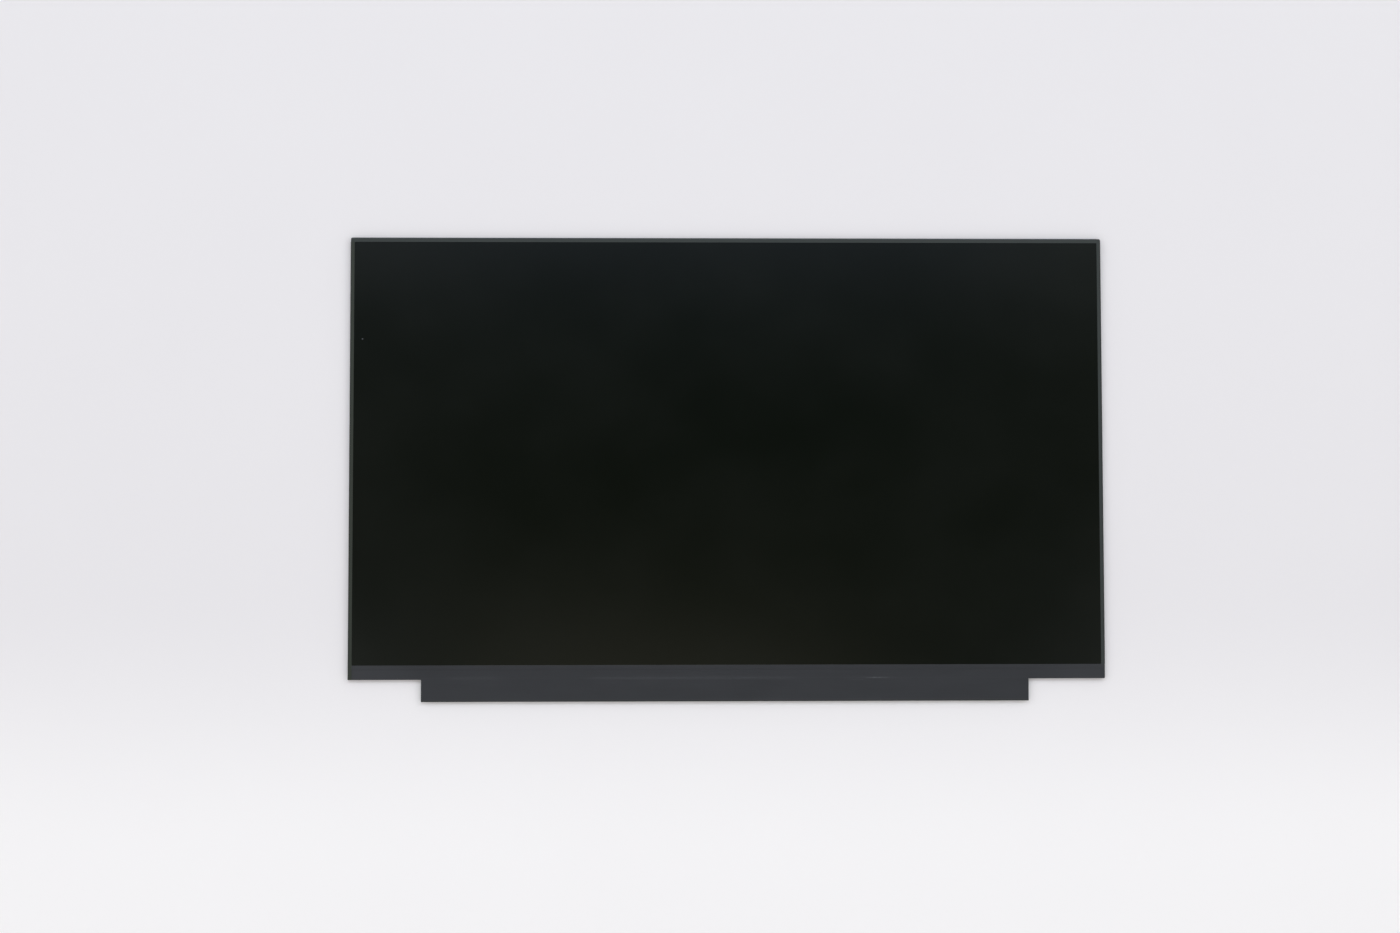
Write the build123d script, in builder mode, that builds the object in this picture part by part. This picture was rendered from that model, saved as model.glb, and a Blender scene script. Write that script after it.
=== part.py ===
from build123d import *
import math
import os

os.makedirs("parts", exist_ok=True)

# Slim narrow-border screen panel for a laptop lid, lying on its back with the screen up.
# X runs along the screen, Y up the picture and Z out of the screen. The origin is the middle of the
# picture, on the plane that the stamped back cover rests on. Lengths are in millimetres.

# Picture and the borders round it
picture_width = 344.16
picture_height = 193.59
side_border = 3.25
top_border = 3.2
bottom_border = 8.6
corner_radius = 0.6

# Board flap below the lower edge
flap_width = 281.2
flap_height = 10.2
flap_shift = -1.0

# Dark tapes that close the front and the sides
tape_thickness = 0.08
side_rim = 1.8
top_rim = 2.0
tape_drop = 1.9
tape_end_margin = 0.05
fold_radius = 0.15
seam = 0.05
strip_height = 6.6
strip_right_inset = 0.5
strip_lap = 1.3
strip_step_run = 1.2
strip_step_radius = 0.8
wrap_reach = 1.2
fold_gap = 0.1

# Layers from the back to the front
cover_sheet = 0.3
emboss = 0.15
reflector_thickness = 0.19
guide_thickness = 0.6
lower_diffuser_thickness = 0.12
prism_thickness = 0.14
upper_diffuser_thickness = 0.1
sheet_headroom = 0.05
shade_thickness = 0.06
rear_polarizer_thickness = 0.13
glass_thickness = 0.2
front_polarizer_thickness = 0.15

# Edges of the layers
cell_clearance = 0.15
glass_corner = 0.5
polarizer_inset = 0.3
polarizer_corner = 0.4
shade_margin = 0.35
shade_inset = 0.05
window_margin = 0.95
sheet_clearance = 0.2
ear_length = 6.0
ear_reach = 0.75
ear_spacing = 110.0
ear_play = 0.15

# Moulded frame
frame_lift = 0.05
frame_wall = 0.75
bottom_wall = 0.8
glass_rest_width = 1.4
glass_rest_gap = 0.2

# Stamped back cover, its flange and the hooks that hold it
flange_height = 1.1
flange_clearance = 0.07
flange_relief = 1.6
cover_corner = 1.2
bend_radius = 0.25
field_margin = 14.0
field_gap = 24.0
field_radius = 6.0
field_taper = 78
field_count = 2
hook_length = 6.0
hook_depth = 0.2
hook_low = 0.55
hook_height = 0.3
hook_play = 0.06
side_hook_count = 4
side_hook_pitch = 48.0
top_hook_count = 6
top_hook_pitch = 58.0

# Row of lights along the lower edge and its flex strip
led_count = 48
led_length = 3.8
led_depth = 1.0
led_window_length = 3.0
led_window_height = 0.38
led_window_depth = 0.14
led_back_gap = 0.85
led_guide_gap = 0.05
flex_thickness = 0.12
flex_headroom = 0.04
flex_margin = 1.2
flex_inset = 0.1
tail_width = 10.0
tail_inset = 35.0
tail_play = 0.06
tail_run = 0.2
tail_rise = 1.1
tail_land = 3.0

# Driver films between the glass and the board
driver_count = 6
film_thickness = 0.05
film_width = 32.0
film_corner = 0.6
film_bond = 1.8
film_land = 1.5
film_clearance = 0.06
driver_length = 14.0
driver_depth = 0.7
driver_height = 0.28
driver_play = 0.06

# Control board and its rests on the frame
board_thickness = 0.5
board_inset = 0.3
board_gap = 0.25
board_corner = 0.5
tool_hole_radius = 0.75
tool_hole_inset = 5.0
rest_count = 5
rest_inset = 12.0
rest_length = 5.0
rest_reach = 1.0
rest_root = 0.6
rest_tip = 0.3

# Display cable socket on the rear of the board
socket_inset = 36.0
socket_edge_gap = 0.25
socket_depth = 4.2
socket_floor = 0.42
socket_wall_height = 0.95
socket_rear_wall = 1.1
socket_end_wall = 0.9
contact_count = 30
contact_pitch = 0.5
contact_width = 0.2
contact_thickness = 0.12
contact_play = 0.02
contact_end_room = 0.75
contact_setback = 0.4
contact_leg_gap = 0.15
contact_foot = 0.6
shell_sheet = 0.1
shell_setback = 0.7
shell_foot = 0.8
shell_tongue_count = 4
shell_tongue_pitch = 4.2
shell_tongue_width = 1.0
shell_tongue_length = 1.6
wrap_socket_gap = 1.5

# Rows of components on the rear of the board, below its top edge
bypass_row = 1.6
chip_row = 5.5

# Chips: where they sit along the board, then their sides and heights
chip_chamfer = 0.06
timing_inset = 84.0
timing_side = 5.5
timing_height = 0.8
memory_offset = 10.0
memory_length = 3.0
memory_width = 2.0
memory_height = 0.55
power_side = 4.0
power_height = 0.8
buffer_offset = 26.0
buffer_side = 3.0
buffer_height = 0.75
light_driver_inset = 56.0
light_driver_side = 3.0
light_driver_height = 0.75

# Coils, diodes and fuse
coil_side = 3.0
coil_height = 1.1
coil_corner = 0.5
coil_core_radius = 1.05
coil_core_depth = 0.12
coil_offset = 8.0
boost_coil_inset = 63.0
boost_coil_side = 4.0
boost_coil_height = 1.15
boost_core_radius = 1.5
diode_length = 2.0
diode_width = 1.3
diode_height = 0.9
diode_taper = 5
diode_lead = 0.4
diode_lead_width = 0.8
diode_lead_height = 0.2
diode_offset = 14.0
boost_diode_inset = 50.5
fuse_offset = 19.0
fuse_length = 3.2
fuse_width = 1.6
fuse_height = 0.6
fuse_end = 0.5

# Chip capacitors and resistors, with end caps that stand proud of the body
end_step = 0.04
large_length = 1.6
large_width = 0.8
large_height = 0.8
large_end = 0.35
large_pitch = 1.5
large_count = 3
large_column = 12.0
boost_cap_inset = 45.0
socket_cap_offset = 15.0
small_length = 1.0
small_width = 0.5
small_height = 0.5
small_end = 0.25
small_pitch = 1.3
small_count = 4
small_column = 4.6
bypass_pitch = 2.2
resistor_height = 0.35
resistor_offset = 14.0
resistor_row_pitch = 1.0
resistor_rows = 5
resistor_column_pitch = 2.2
resistor_columns = 3

# Heights of the layers
reflector_z = emboss + cover_sheet
guide_z = reflector_z + reflector_thickness
guide_top_z = guide_z + guide_thickness
lower_prism_z = guide_top_z + lower_diffuser_thickness
upper_prism_z = lower_prism_z + prism_thickness
upper_diffuser_z = upper_prism_z + prism_thickness
ledge_z = upper_diffuser_z + upper_diffuser_thickness + sheet_headroom
rear_polarizer_z = ledge_z + shade_thickness
array_z = rear_polarizer_z + rear_polarizer_thickness
filter_z = array_z + glass_thickness
front_z = filter_z + glass_thickness
film_top_z = filter_z + film_thickness
board_z = filter_z - board_thickness
flex_top_z = guide_top_z + flex_thickness
hook_high = hook_low + hook_height

# Outline of the module, of its frame and of the room inside the frame's walls
module_x = picture_width / 2 + side_border
module_top_y = picture_height / 2 + top_border
module_bottom_y = -picture_height / 2 - bottom_border
frame_x = module_x - tape_thickness
frame_top_y = module_top_y - tape_thickness
wall_x = frame_x - frame_wall
wall_top_y = frame_top_y - frame_wall
wall_bottom_y = module_bottom_y + bottom_wall

# Glass, window and optical sheets
glass_x = wall_x - cell_clearance
glass_top_y = wall_top_y - cell_clearance
glass_bottom_y = wall_bottom_y + cell_clearance
strip_top_y = module_bottom_y + strip_height
filter_bottom_y = strip_top_y - strip_lap
screen_x = module_x - side_rim - seam
screen_top_y = module_top_y - top_rim - seam
screen_bottom_y = strip_top_y + seam
window_x = picture_width / 2 + window_margin
window_y = picture_height / 2 + window_margin
sheet_x = window_x - sheet_clearance
sheet_y = window_y - sheet_clearance

# Back cover and the row of lights
cover_x = wall_x - flange_clearance
cover_top_y = wall_top_y - flange_clearance
cover_bottom_y = wall_bottom_y + flange_clearance
cover_mid_y = (cover_top_y + cover_bottom_y) / 2
field_spread = cover_sheet * math.tan(math.radians((90 - field_taper) / 2))
groove_width = cover_sheet + 2 * flange_clearance
lamp_bottom_y = cover_bottom_y + cover_sheet + flex_inset
led_back_y = cover_bottom_y + cover_sheet + led_back_gap
led_front_y = led_back_y + led_depth
guide_bottom_y = led_front_y + led_guide_gap
flex_top_y = -window_y - flex_margin
web_z = flex_top_z + flex_headroom

# Flap, board and driver films
flap_left_x = flap_shift - flap_width / 2
flap_right_x = flap_shift + flap_width / 2
flap_bottom_y = module_bottom_y - flap_height
board_left_x = flap_left_x + board_inset
board_right_x = flap_right_x - board_inset
board_top_y = module_bottom_y - board_gap
board_bottom_y = flap_bottom_y + tape_thickness + fold_gap
film_pitch = (board_right_x - board_left_x) / driver_count
film_centres = [board_left_x + film_pitch * (i + 0.5) for i in range(driver_count)]
film_top_y = glass_bottom_y + film_bond
film_bottom_y = board_top_y - film_land
driver_y = module_bottom_y + bottom_wall / 2
tail_x = board_right_x - tail_inset
rest_pitch = (flap_width - 2 * rest_inset) / (rest_count - 1)
rest_centres = [flap_left_x + rest_inset + rest_pitch * i for i in range(rest_count)]

# Where the components sit on the board
bypass_y = board_top_y - bypass_row
chip_y = board_top_y - chip_row
socket_x = board_left_x + socket_inset
socket_mouth_y = board_bottom_y + socket_edge_gap
socket_back_y = socket_mouth_y + socket_depth
socket_mid_y = (socket_mouth_y + socket_back_y) / 2
timing_x = board_left_x + timing_inset
power_x = flap_shift
light_driver_x = board_right_x - light_driver_inset
boost_coil_x = board_right_x - boost_coil_inset
boost_diode_x = board_right_x - boost_diode_inset


def steps(count, pitch):
    """Places in a row of equal steps about its middle."""
    return [pitch * (i - (count - 1) / 2) for i in range(count)]


def edge_rectangle(left, right, bottom, top, mode=Mode.ADD):
    """Rectangle of the open sketch, given by its four edges."""
    with Locations(((left + right) / 2, (bottom + top) / 2)):
        return Rectangle(right - left, top - bottom, mode=mode)


def sheet_outline():
    """Outline of an optical sheet, with the ears that hang it in the frame."""
    edge_rectangle(-sheet_x, sheet_x, -sheet_y, sheet_y)
    with GridLocations(2 * sheet_x, ear_spacing, 2, 2):
        Rectangle(2 * ear_reach, ear_length)


def field_outline(spread):
    """Four rounded fields of the back cover, each widened by a spread on every side."""
    width = (2 * cover_x - 2 * field_margin - (field_count - 1) * field_gap) / field_count
    height = (cover_top_y - cover_bottom_y - 2 * field_margin - (field_count - 1) * field_gap) / field_count
    with Locations((0, cover_mid_y)):
        with GridLocations(width + field_gap, height + field_gap, field_count, field_count):
            RectangleRounded(width + 2 * spread, height + 2 * spread, field_radius + spread)


def write(piece, name):
    """Label a finished piece and write its file."""
    piece.part.label = name
    export_step(piece.part, f"parts/{name}.step")


def write_end_capped(name, points, length, width, height, end):
    """Chip capacitors, resistors or fuses on the board's rear, each a body between two proud end caps."""
    with BuildPart() as components:
        with BuildSketch(Plane.XY.offset(board_z)):
            with Locations(*points):
                Rectangle(length - end, width - 2 * end_step)
        extrude(amount=end_step - height)
        with BuildSketch(Plane.XY.offset(board_z)):
            with Locations(*points):
                with GridLocations(length - end, width, 2, 1):
                    Rectangle(end, width)
        extrude(amount=-height)
    write(components, name)


# Stamped back cover: a tray with a low flange, four sunk fields and windows for the frame's hooks
side_hooks = [cover_mid_y + shift for shift in steps(side_hook_count, side_hook_pitch)]
top_hooks = steps(top_hook_count, top_hook_pitch)
hook_window = hook_length + 2 * hook_play
hook_mid = hook_low + hook_height / 2

with BuildPart() as back_cover:
    with BuildSketch() as plate:
        edge_rectangle(-cover_x, cover_x, cover_bottom_y, cover_top_y)
        chamfer(plate.vertices(), cover_corner)
    extrude(amount=cover_sheet)
    with BuildSketch(Plane.XY.offset(cover_sheet)):
        field_outline(field_spread)
    extrude(amount=emboss, taper=field_taper)
    with BuildSketch():
        field_outline(0)
    extrude(amount=emboss, taper=field_taper, mode=Mode.SUBTRACT)
    with BuildSketch(Plane.XY.offset(cover_sheet)):
        edge_rectangle(-cover_x, cover_x, cover_bottom_y, cover_top_y)
        edge_rectangle(
            cover_sheet - cover_x,
            cover_x - cover_sheet,
            cover_bottom_y + cover_sheet,
            cover_top_y - cover_sheet,
            mode=Mode.SUBTRACT,
        )
        with Locations((0, cover_mid_y)):
            with GridLocations(2 * cover_x, cover_top_y - cover_bottom_y, 2, 2):
                Rectangle(2 * flange_relief, 2 * flange_relief, mode=Mode.SUBTRACT)
    extrude(amount=flange_height - cover_sheet)
    fillet(back_cover.faces().sort_by(Axis.Z)[0].outer_wire().edges(), bend_radius)
    with BuildSketch(Plane.YZ.offset(-cover_x)):
        with Locations(*[(y, hook_mid) for y in side_hooks]):
            Rectangle(hook_window, hook_height + 2 * hook_play)
    extrude(amount=2 * cover_x, mode=Mode.SUBTRACT)
    with BuildSketch(Plane.XZ.offset(-cover_top_y)):
        with Locations(*[(x, hook_mid) for x in top_hooks]):
            Rectangle(hook_window, hook_height + 2 * hook_play)
    extrude(amount=cover_sheet, mode=Mode.SUBTRACT)
write(back_cover, "back_cover")

# Moulded frame: stepped section with a ledge for the glass, a groove for the cover's flange and a
# channel for the row of lights
with BuildPart() as mould_frame:
    with BuildSketch(Plane.XY.offset(frame_lift)) as outline:
        edge_rectangle(-frame_x, frame_x, module_bottom_y, frame_top_y)
        fillet(outline.vertices(), corner_radius)
    extrude(amount=front_z - frame_lift)
    fillet(mould_frame.faces().sort_by(Axis.Z)[-1].edges(), fold_radius)

    # Pocket for the glass above the ledge, the step under its lower edge, and the window for the light
    with BuildSketch(Plane.XY.offset(ledge_z)):
        edge_rectangle(-wall_x, wall_x, wall_bottom_y, wall_top_y)
    extrude(amount=front_z - ledge_z, mode=Mode.SUBTRACT)
    with BuildSketch(Plane.XY.offset(ledge_z)):
        edge_rectangle(-wall_x, wall_x, wall_bottom_y, wall_bottom_y + glass_rest_width)
    extrude(amount=array_z - ledge_z)
    with BuildSketch(Plane.XY.offset(frame_lift)):
        edge_rectangle(-window_x, window_x, -window_y, window_y)
    extrude(amount=front_z, mode=Mode.SUBTRACT)

    # Seat of the back cover, groove of its flange and channel of the lights
    with BuildSketch(Plane.XY.offset(frame_lift)):
        edge_rectangle(-wall_x, wall_x, wall_bottom_y, wall_top_y)
    extrude(amount=cover_sheet - frame_lift, mode=Mode.SUBTRACT)
    with BuildSketch(Plane.XY.offset(cover_sheet)):
        edge_rectangle(-wall_x, wall_x, wall_bottom_y, wall_top_y)
        edge_rectangle(
            groove_width - wall_x,
            wall_x - groove_width,
            wall_bottom_y + groove_width,
            wall_top_y - groove_width,
            mode=Mode.SUBTRACT,
        )
    extrude(amount=flange_height + flange_clearance - cover_sheet, mode=Mode.SUBTRACT)
    with BuildSketch(Plane.XY.offset(cover_sheet)):
        edge_rectangle(-window_x, window_x, wall_bottom_y, -window_y)
    extrude(amount=web_z - cover_sheet, mode=Mode.SUBTRACT)

    # Pockets for the ears of the sheets
    with BuildSketch(Plane.XY.offset(guide_top_z - ear_play)):
        with GridLocations(2 * sheet_x, ear_spacing, 2, 2):
            Rectangle(2 * (ear_reach + ear_play), ear_length + 2 * ear_play)
    extrude(amount=ledge_z - guide_top_z + ear_play, mode=Mode.SUBTRACT)

    # Lower walls: down to the cover tape, and further down where the driver films and chips cross
    with BuildSketch(Plane.XY.offset(film_top_z)):
        edge_rectangle(-wall_x, module_x, flap_bottom_y, filter_bottom_y)
    extrude(amount=front_z - film_top_z, mode=Mode.SUBTRACT)
    with BuildSketch(Plane.XY.offset(filter_z - film_clearance)):
        edge_rectangle(flap_left_x, flap_right_x, flap_bottom_y, wall_bottom_y)
    extrude(amount=film_thickness + film_clearance, mode=Mode.SUBTRACT)
    with BuildSketch(Plane.XY.offset(filter_z - driver_height - driver_play)):
        with Locations(*[(x, driver_y) for x in film_centres]):
            Rectangle(driver_length + 2 * driver_play, bottom_wall)
    extrude(amount=driver_height + driver_play, mode=Mode.SUBTRACT)

    # Slot for the tail of the flex strip
    with BuildSketch(Plane.XZ.offset(-wall_bottom_y)):
        with Locations((tail_x, (guide_top_z + flex_top_z) / 2)):
            Rectangle(tail_width + 2 * tail_play, flex_thickness + 2 * tail_play)
    extrude(amount=bottom_wall, mode=Mode.SUBTRACT)

    # Tapered rests under the board's upper edge
    for rest_x in rest_centres:
        with BuildSketch(Plane.YZ.offset(rest_x - rest_length / 2)):
            Polygon(
                (module_bottom_y, board_z),
                (module_bottom_y - rest_reach, board_z),
                (module_bottom_y - rest_reach, board_z - rest_tip),
                (module_bottom_y, board_z - rest_root),
                align=None,
            )
        extrude(amount=rest_length)

    # Wedge hooks that snap into the windows of the flange
    for hook_y in side_hooks:
        with BuildSketch(Plane.XZ.offset(-hook_y - hook_length / 2)):
            for side in (-1, 1):
                tip_x = wall_x - hook_depth
                Polygon(
                    (side * wall_x, hook_low),
                    (side * wall_x, hook_high),
                    (side * tip_x, hook_high),
                    align=None,
                )
        extrude(amount=hook_length)
    for hook_x in top_hooks:
        with BuildSketch(Plane.YZ.offset(hook_x - hook_length / 2)):
            Polygon(
                (wall_top_y, hook_low),
                (wall_top_y, hook_high),
                (wall_top_y - hook_depth, hook_high),
                align=None,
            )
        extrude(amount=hook_length)
write(mould_frame, "mould_frame")

# Backlight: reflector and light guide
with BuildPart() as reflector_sheet:
    with BuildSketch(Plane.XY.offset(reflector_z)):
        edge_rectangle(-sheet_x, sheet_x, lamp_bottom_y, sheet_y)
    extrude(amount=reflector_thickness)
write(reflector_sheet, "reflector_sheet")

with BuildPart() as light_guide:
    with BuildSketch(Plane.XY.offset(guide_z)):
        edge_rectangle(-sheet_x, sheet_x, guide_bottom_y, sheet_y)
    extrude(amount=guide_thickness)
write(light_guide, "light_guide")

# Diffuser and prism sheets, stacked on the light guide: height of the lower face and thickness
sheets = {
    "lower_diffuser": (guide_top_z, lower_diffuser_thickness),
    "lower_prism_sheet": (lower_prism_z, prism_thickness),
    "upper_prism_sheet": (upper_prism_z, prism_thickness),
    "upper_diffuser": (upper_diffuser_z, upper_diffuser_thickness),
}
for sheet_name, (sheet_z, sheet_thickness) in sheets.items():
    with BuildPart() as sheet:
        with BuildSketch(Plane.XY.offset(sheet_z)):
            sheet_outline()
        extrude(amount=sheet_thickness)
    write(sheet, sheet_name)

# Row of side-view lights, each with its window towards the light guide
led_pitch = 2 * sheet_x / led_count
with BuildPart() as leds:
    with BuildSketch(Plane.XY.offset(guide_z)):
        with Locations((0, (led_back_y + led_front_y) / 2)):
            with GridLocations(led_pitch, led_depth, led_count, 1):
                Rectangle(led_length, led_depth)
    extrude(amount=guide_thickness)
    with BuildSketch(Plane.XZ.offset(-led_front_y)):
        with Locations((0, guide_z + guide_thickness / 2)):
            with GridLocations(led_pitch, guide_thickness, led_count, 1):
                Rectangle(led_window_length, led_window_height)
    extrude(amount=led_window_depth, mode=Mode.SUBTRACT)
write(leds, "leds")

# Flex strip of the lights, with the tail that climbs to the rear of the board
with BuildPart() as led_flex:
    with BuildSketch(Plane.XY.offset(guide_top_z)):
        edge_rectangle(-sheet_x, sheet_x, lamp_bottom_y, flex_top_y)
    extrude(amount=flex_thickness)
    with BuildSketch(Plane.YZ.offset(tail_x - tail_width / 2)):
        with BuildLine():
            Polyline(
                (lamp_bottom_y, guide_top_z + flex_thickness / 2),
                (module_bottom_y - tail_run, guide_top_z + flex_thickness / 2),
                (module_bottom_y - tail_run - tail_rise, board_z - flex_thickness / 2),
                (module_bottom_y - tail_run - tail_rise - tail_land, board_z - flex_thickness / 2),
            )
        trace(line_width=flex_thickness)
    extrude(amount=tail_width)
write(led_flex, "led_flex")

# Display cell: shading tape, two polarizers and two sheets of glass
with BuildPart() as shading_tape:
    with BuildSketch(Plane.XY.offset(ledge_z)):
        edge_rectangle(
            shade_inset - glass_x,
            glass_x - shade_inset,
            wall_bottom_y + glass_rest_width + glass_rest_gap,
            glass_top_y - shade_inset,
        )
        Rectangle(picture_width + 2 * shade_margin, picture_height + 2 * shade_margin, mode=Mode.SUBTRACT)
    extrude(amount=shade_thickness)
write(shading_tape, "shading_tape")

with BuildPart() as rear_polarizer:
    with BuildSketch(Plane.XY.offset(rear_polarizer_z)):
        edge_rectangle(
            polarizer_inset - glass_x,
            glass_x - polarizer_inset,
            filter_bottom_y,
            glass_top_y - polarizer_inset,
        )
    extrude(amount=rear_polarizer_thickness)
write(rear_polarizer, "rear_polarizer")

with BuildPart() as array_glass:
    with BuildSketch(Plane.XY.offset(array_z)) as pane:
        edge_rectangle(-glass_x, glass_x, glass_bottom_y, glass_top_y)
        chamfer(pane.vertices(), glass_corner)
    extrude(amount=glass_thickness)
write(array_glass, "array_glass")

with BuildPart() as filter_glass:
    with BuildSketch(Plane.XY.offset(filter_z)) as pane:
        edge_rectangle(-glass_x, glass_x, filter_bottom_y, glass_top_y)
        chamfer(pane.vertices().group_by(Axis.Y)[-1], glass_corner)
    extrude(amount=glass_thickness)
write(filter_glass, "filter_glass")

with BuildPart() as front_polarizer:
    with BuildSketch(Plane.XY.offset(front_z)) as screen:
        edge_rectangle(-screen_x, screen_x, screen_bottom_y, screen_top_y)
        fillet(screen.vertices(), polarizer_corner)
    extrude(amount=front_polarizer_thickness)
write(front_polarizer, "front_polarizer")

# Driver films, bonded to the glass ledge and to the front of the board, with a chip behind each
with BuildPart() as driver_films:
    with BuildSketch(Plane.XY.offset(filter_z)):
        with Locations(*[(x, (film_top_y + film_bottom_y) / 2) for x in film_centres]):
            RectangleRounded(film_width, film_top_y - film_bottom_y, film_corner)
    extrude(amount=film_thickness)
write(driver_films, "driver_films")

with BuildPart() as driver_chips:
    with BuildSketch(Plane.XY.offset(filter_z)):
        with Locations(*[(x, driver_y) for x in film_centres]):
            Rectangle(driver_length, driver_depth)
    extrude(amount=-driver_height)
write(driver_chips, "driver_chips")

# Control board with a tooling hole at each end
with BuildPart() as control_board:
    with BuildSketch(Plane.XY.offset(board_z)) as board:
        edge_rectangle(board_left_x, board_right_x, board_bottom_y, board_top_y)
        fillet(board.vertices(), board_corner)
        with Locations((board_left_x + tool_hole_inset, chip_y), (board_right_x - tool_hole_inset, chip_y)):
            Circle(tool_hole_radius, mode=Mode.SUBTRACT)
    extrude(amount=board_thickness)
write(control_board, "control_board")

# Display cable socket: moulded tray, pressed contacts and sheet-metal shell, open towards the edge
contact_span = (contact_count - 1) * contact_pitch
socket_half = contact_span / 2 + contact_end_room + socket_end_wall
socket_front_z = board_z - socket_wall_height
contact_z = board_z - socket_floor - contact_thickness / 2

with BuildPart() as socket_housing:
    with BuildSketch(Plane.XY.offset(board_z)):
        edge_rectangle(socket_x - socket_half, socket_x + socket_half, socket_mouth_y, socket_back_y)
    extrude(amount=-socket_wall_height)
    with BuildSketch(Plane.XY.offset(board_z - socket_floor)):
        edge_rectangle(
            socket_x - socket_half + socket_end_wall,
            socket_x + socket_half - socket_end_wall,
            socket_mouth_y,
            socket_back_y - socket_rear_wall,
        )
    extrude(amount=socket_floor - socket_wall_height, mode=Mode.SUBTRACT)
    with BuildSketch(Plane.XZ.offset(-socket_back_y)):
        with Locations((socket_x, contact_z)):
            with GridLocations(contact_pitch, contact_pitch, contact_count, 1):
                Rectangle(contact_width + 2 * contact_play, contact_thickness + 2 * contact_play)
    extrude(amount=socket_rear_wall, mode=Mode.SUBTRACT)
write(socket_housing, "socket_housing")

with BuildPart() as socket_contacts:
    for i in range(contact_count):
        contact_x = socket_x - contact_span / 2 + i * contact_pitch
        with BuildSketch(Plane.YZ.offset(contact_x - contact_width / 2)):
            with BuildLine():
                Polyline(
                    (socket_mouth_y + contact_setback, contact_z),
                    (socket_back_y + contact_leg_gap, contact_z),
                    (socket_back_y + contact_leg_gap, board_z - contact_thickness / 2),
                    (socket_back_y + contact_leg_gap + contact_foot, board_z - contact_thickness / 2),
                )
            trace(line_width=contact_thickness)
    extrude(amount=contact_width)
write(socket_contacts, "socket_contacts")

with BuildPart() as socket_shell:
    with BuildSketch(Plane.XZ.offset(shell_setback - socket_back_y)):
        with BuildLine():
            Polyline(
                (socket_x - socket_half - shell_foot, board_z - shell_sheet / 2),
                (socket_x - socket_half - shell_sheet / 2, board_z - shell_sheet / 2),
                (socket_x - socket_half - shell_sheet / 2, socket_front_z - shell_sheet / 2),
                (socket_x + socket_half + shell_sheet / 2, socket_front_z - shell_sheet / 2),
                (socket_x + socket_half + shell_sheet / 2, board_z - shell_sheet / 2),
                (socket_x + socket_half + shell_foot, board_z - shell_sheet / 2),
            )
        trace(line_width=shell_sheet)
    extrude(amount=socket_depth - shell_setback)
    with BuildSketch(Plane.XY.offset(socket_front_z)):
        with Locations((socket_x, socket_mid_y)):
            with GridLocations(shell_tongue_pitch, shell_tongue_length, shell_tongue_count, 1):
                SlotOverall(shell_tongue_length, shell_tongue_width, rotation=90)
    extrude(amount=-shell_sheet, mode=Mode.SUBTRACT)
write(socket_shell, "socket_shell")

# Chips on the rear of the board: place along it, length, width and height
chips = {
    "timing_chip": (timing_x, timing_side, timing_side, timing_height),
    "memory_chip": (timing_x + memory_offset, memory_length, memory_width, memory_height),
    "power_chip": (power_x, power_side, power_side, power_height),
    "buffer_chip": (power_x + buffer_offset, buffer_side, buffer_side, buffer_height),
    "light_driver_chip": (light_driver_x, light_driver_side, light_driver_side, light_driver_height),
}
for chip_name, (chip_x, chip_length, chip_width, chip_height) in chips.items():
    with BuildPart() as chip:
        with BuildSketch(Plane.XY.offset(board_z)):
            with Locations((chip_x, chip_y)):
                Rectangle(chip_length, chip_width)
        extrude(amount=-chip_height)
        chamfer(chip.faces().sort_by(Axis.Z)[0].edges(), chip_chamfer)
    write(chip, chip_name)

# Coils with a round core in a square body: places, side, height and radius of the core
power_coil_points = [(power_x - coil_offset, chip_y), (power_x + coil_offset, chip_y)]
coils = {
    "power_coils": (power_coil_points, coil_side, coil_height, coil_core_radius),
    "boost_coil": ([(boost_coil_x, chip_y)], boost_coil_side, boost_coil_height, boost_core_radius),
}
for coil_name, (points, side, height, core_radius) in coils.items():
    with BuildPart() as coil:
        with BuildSketch(Plane.XY.offset(board_z)):
            with Locations(*points):
                RectangleRounded(side, side, coil_corner)
        extrude(amount=-height)
        with BuildSketch(Plane.XY.offset(board_z - height)):
            with Locations(*points):
                Circle(core_radius)
        extrude(amount=coil_core_depth, mode=Mode.SUBTRACT)
    write(coil, coil_name)

# Diodes with flat leads at both ends, and the fuse
diode_points = [(power_x - diode_offset, chip_y), (boost_diode_x, chip_y)]
with BuildPart() as diodes:
    with BuildSketch(Plane.XY.offset(board_z)):
        with Locations(*diode_points):
            Rectangle(diode_length, diode_width)
    extrude(amount=-diode_height, taper=diode_taper)
    with BuildSketch(Plane.XY.offset(board_z)):
        with Locations(*diode_points):
            Rectangle(diode_length + 2 * diode_lead, diode_lead_width)
    extrude(amount=-diode_lead_height)
write(diodes, "diodes")

write_end_capped("fuse", [(socket_x + fuse_offset, chip_y)], fuse_length, fuse_width, fuse_height, fuse_end)

# Larger capacitors stand in threes beside the supply parts
large_rows = [chip_y + shift for shift in steps(large_count, large_pitch)]
large_columns = [power_x + large_column, board_right_x - boost_cap_inset, socket_x + socket_cap_offset]
large_points = [(x, y) for x in large_columns for y in large_rows]
write_end_capped("large_capacitors", large_points, large_length, large_width, large_height, large_end)

# Small capacitors: a column on each side of the timing chip and a pair at each driver film
small_rows = [chip_y + shift for shift in steps(small_count, small_pitch)]
small_points = [(timing_x + side * small_column, y) for side in (-1, 1) for y in small_rows]
small_points += [(x + side * bypass_pitch / 2, bypass_y) for side in (-1, 1) for x in film_centres]
write_end_capped("small_capacitors", small_points, small_length, small_width, small_height, small_end)

# Resistors in a block beside the memory chip
resistor_x = [timing_x + resistor_offset + resistor_column_pitch * i for i in range(resistor_columns)]
resistor_y = [chip_y + shift for shift in steps(resistor_rows, resistor_row_pitch)]
resistor_points = [(x, y) for x in resistor_x for y in resistor_y]
write_end_capped("resistors", resistor_points, small_length, small_width, resistor_height, small_end)

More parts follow.
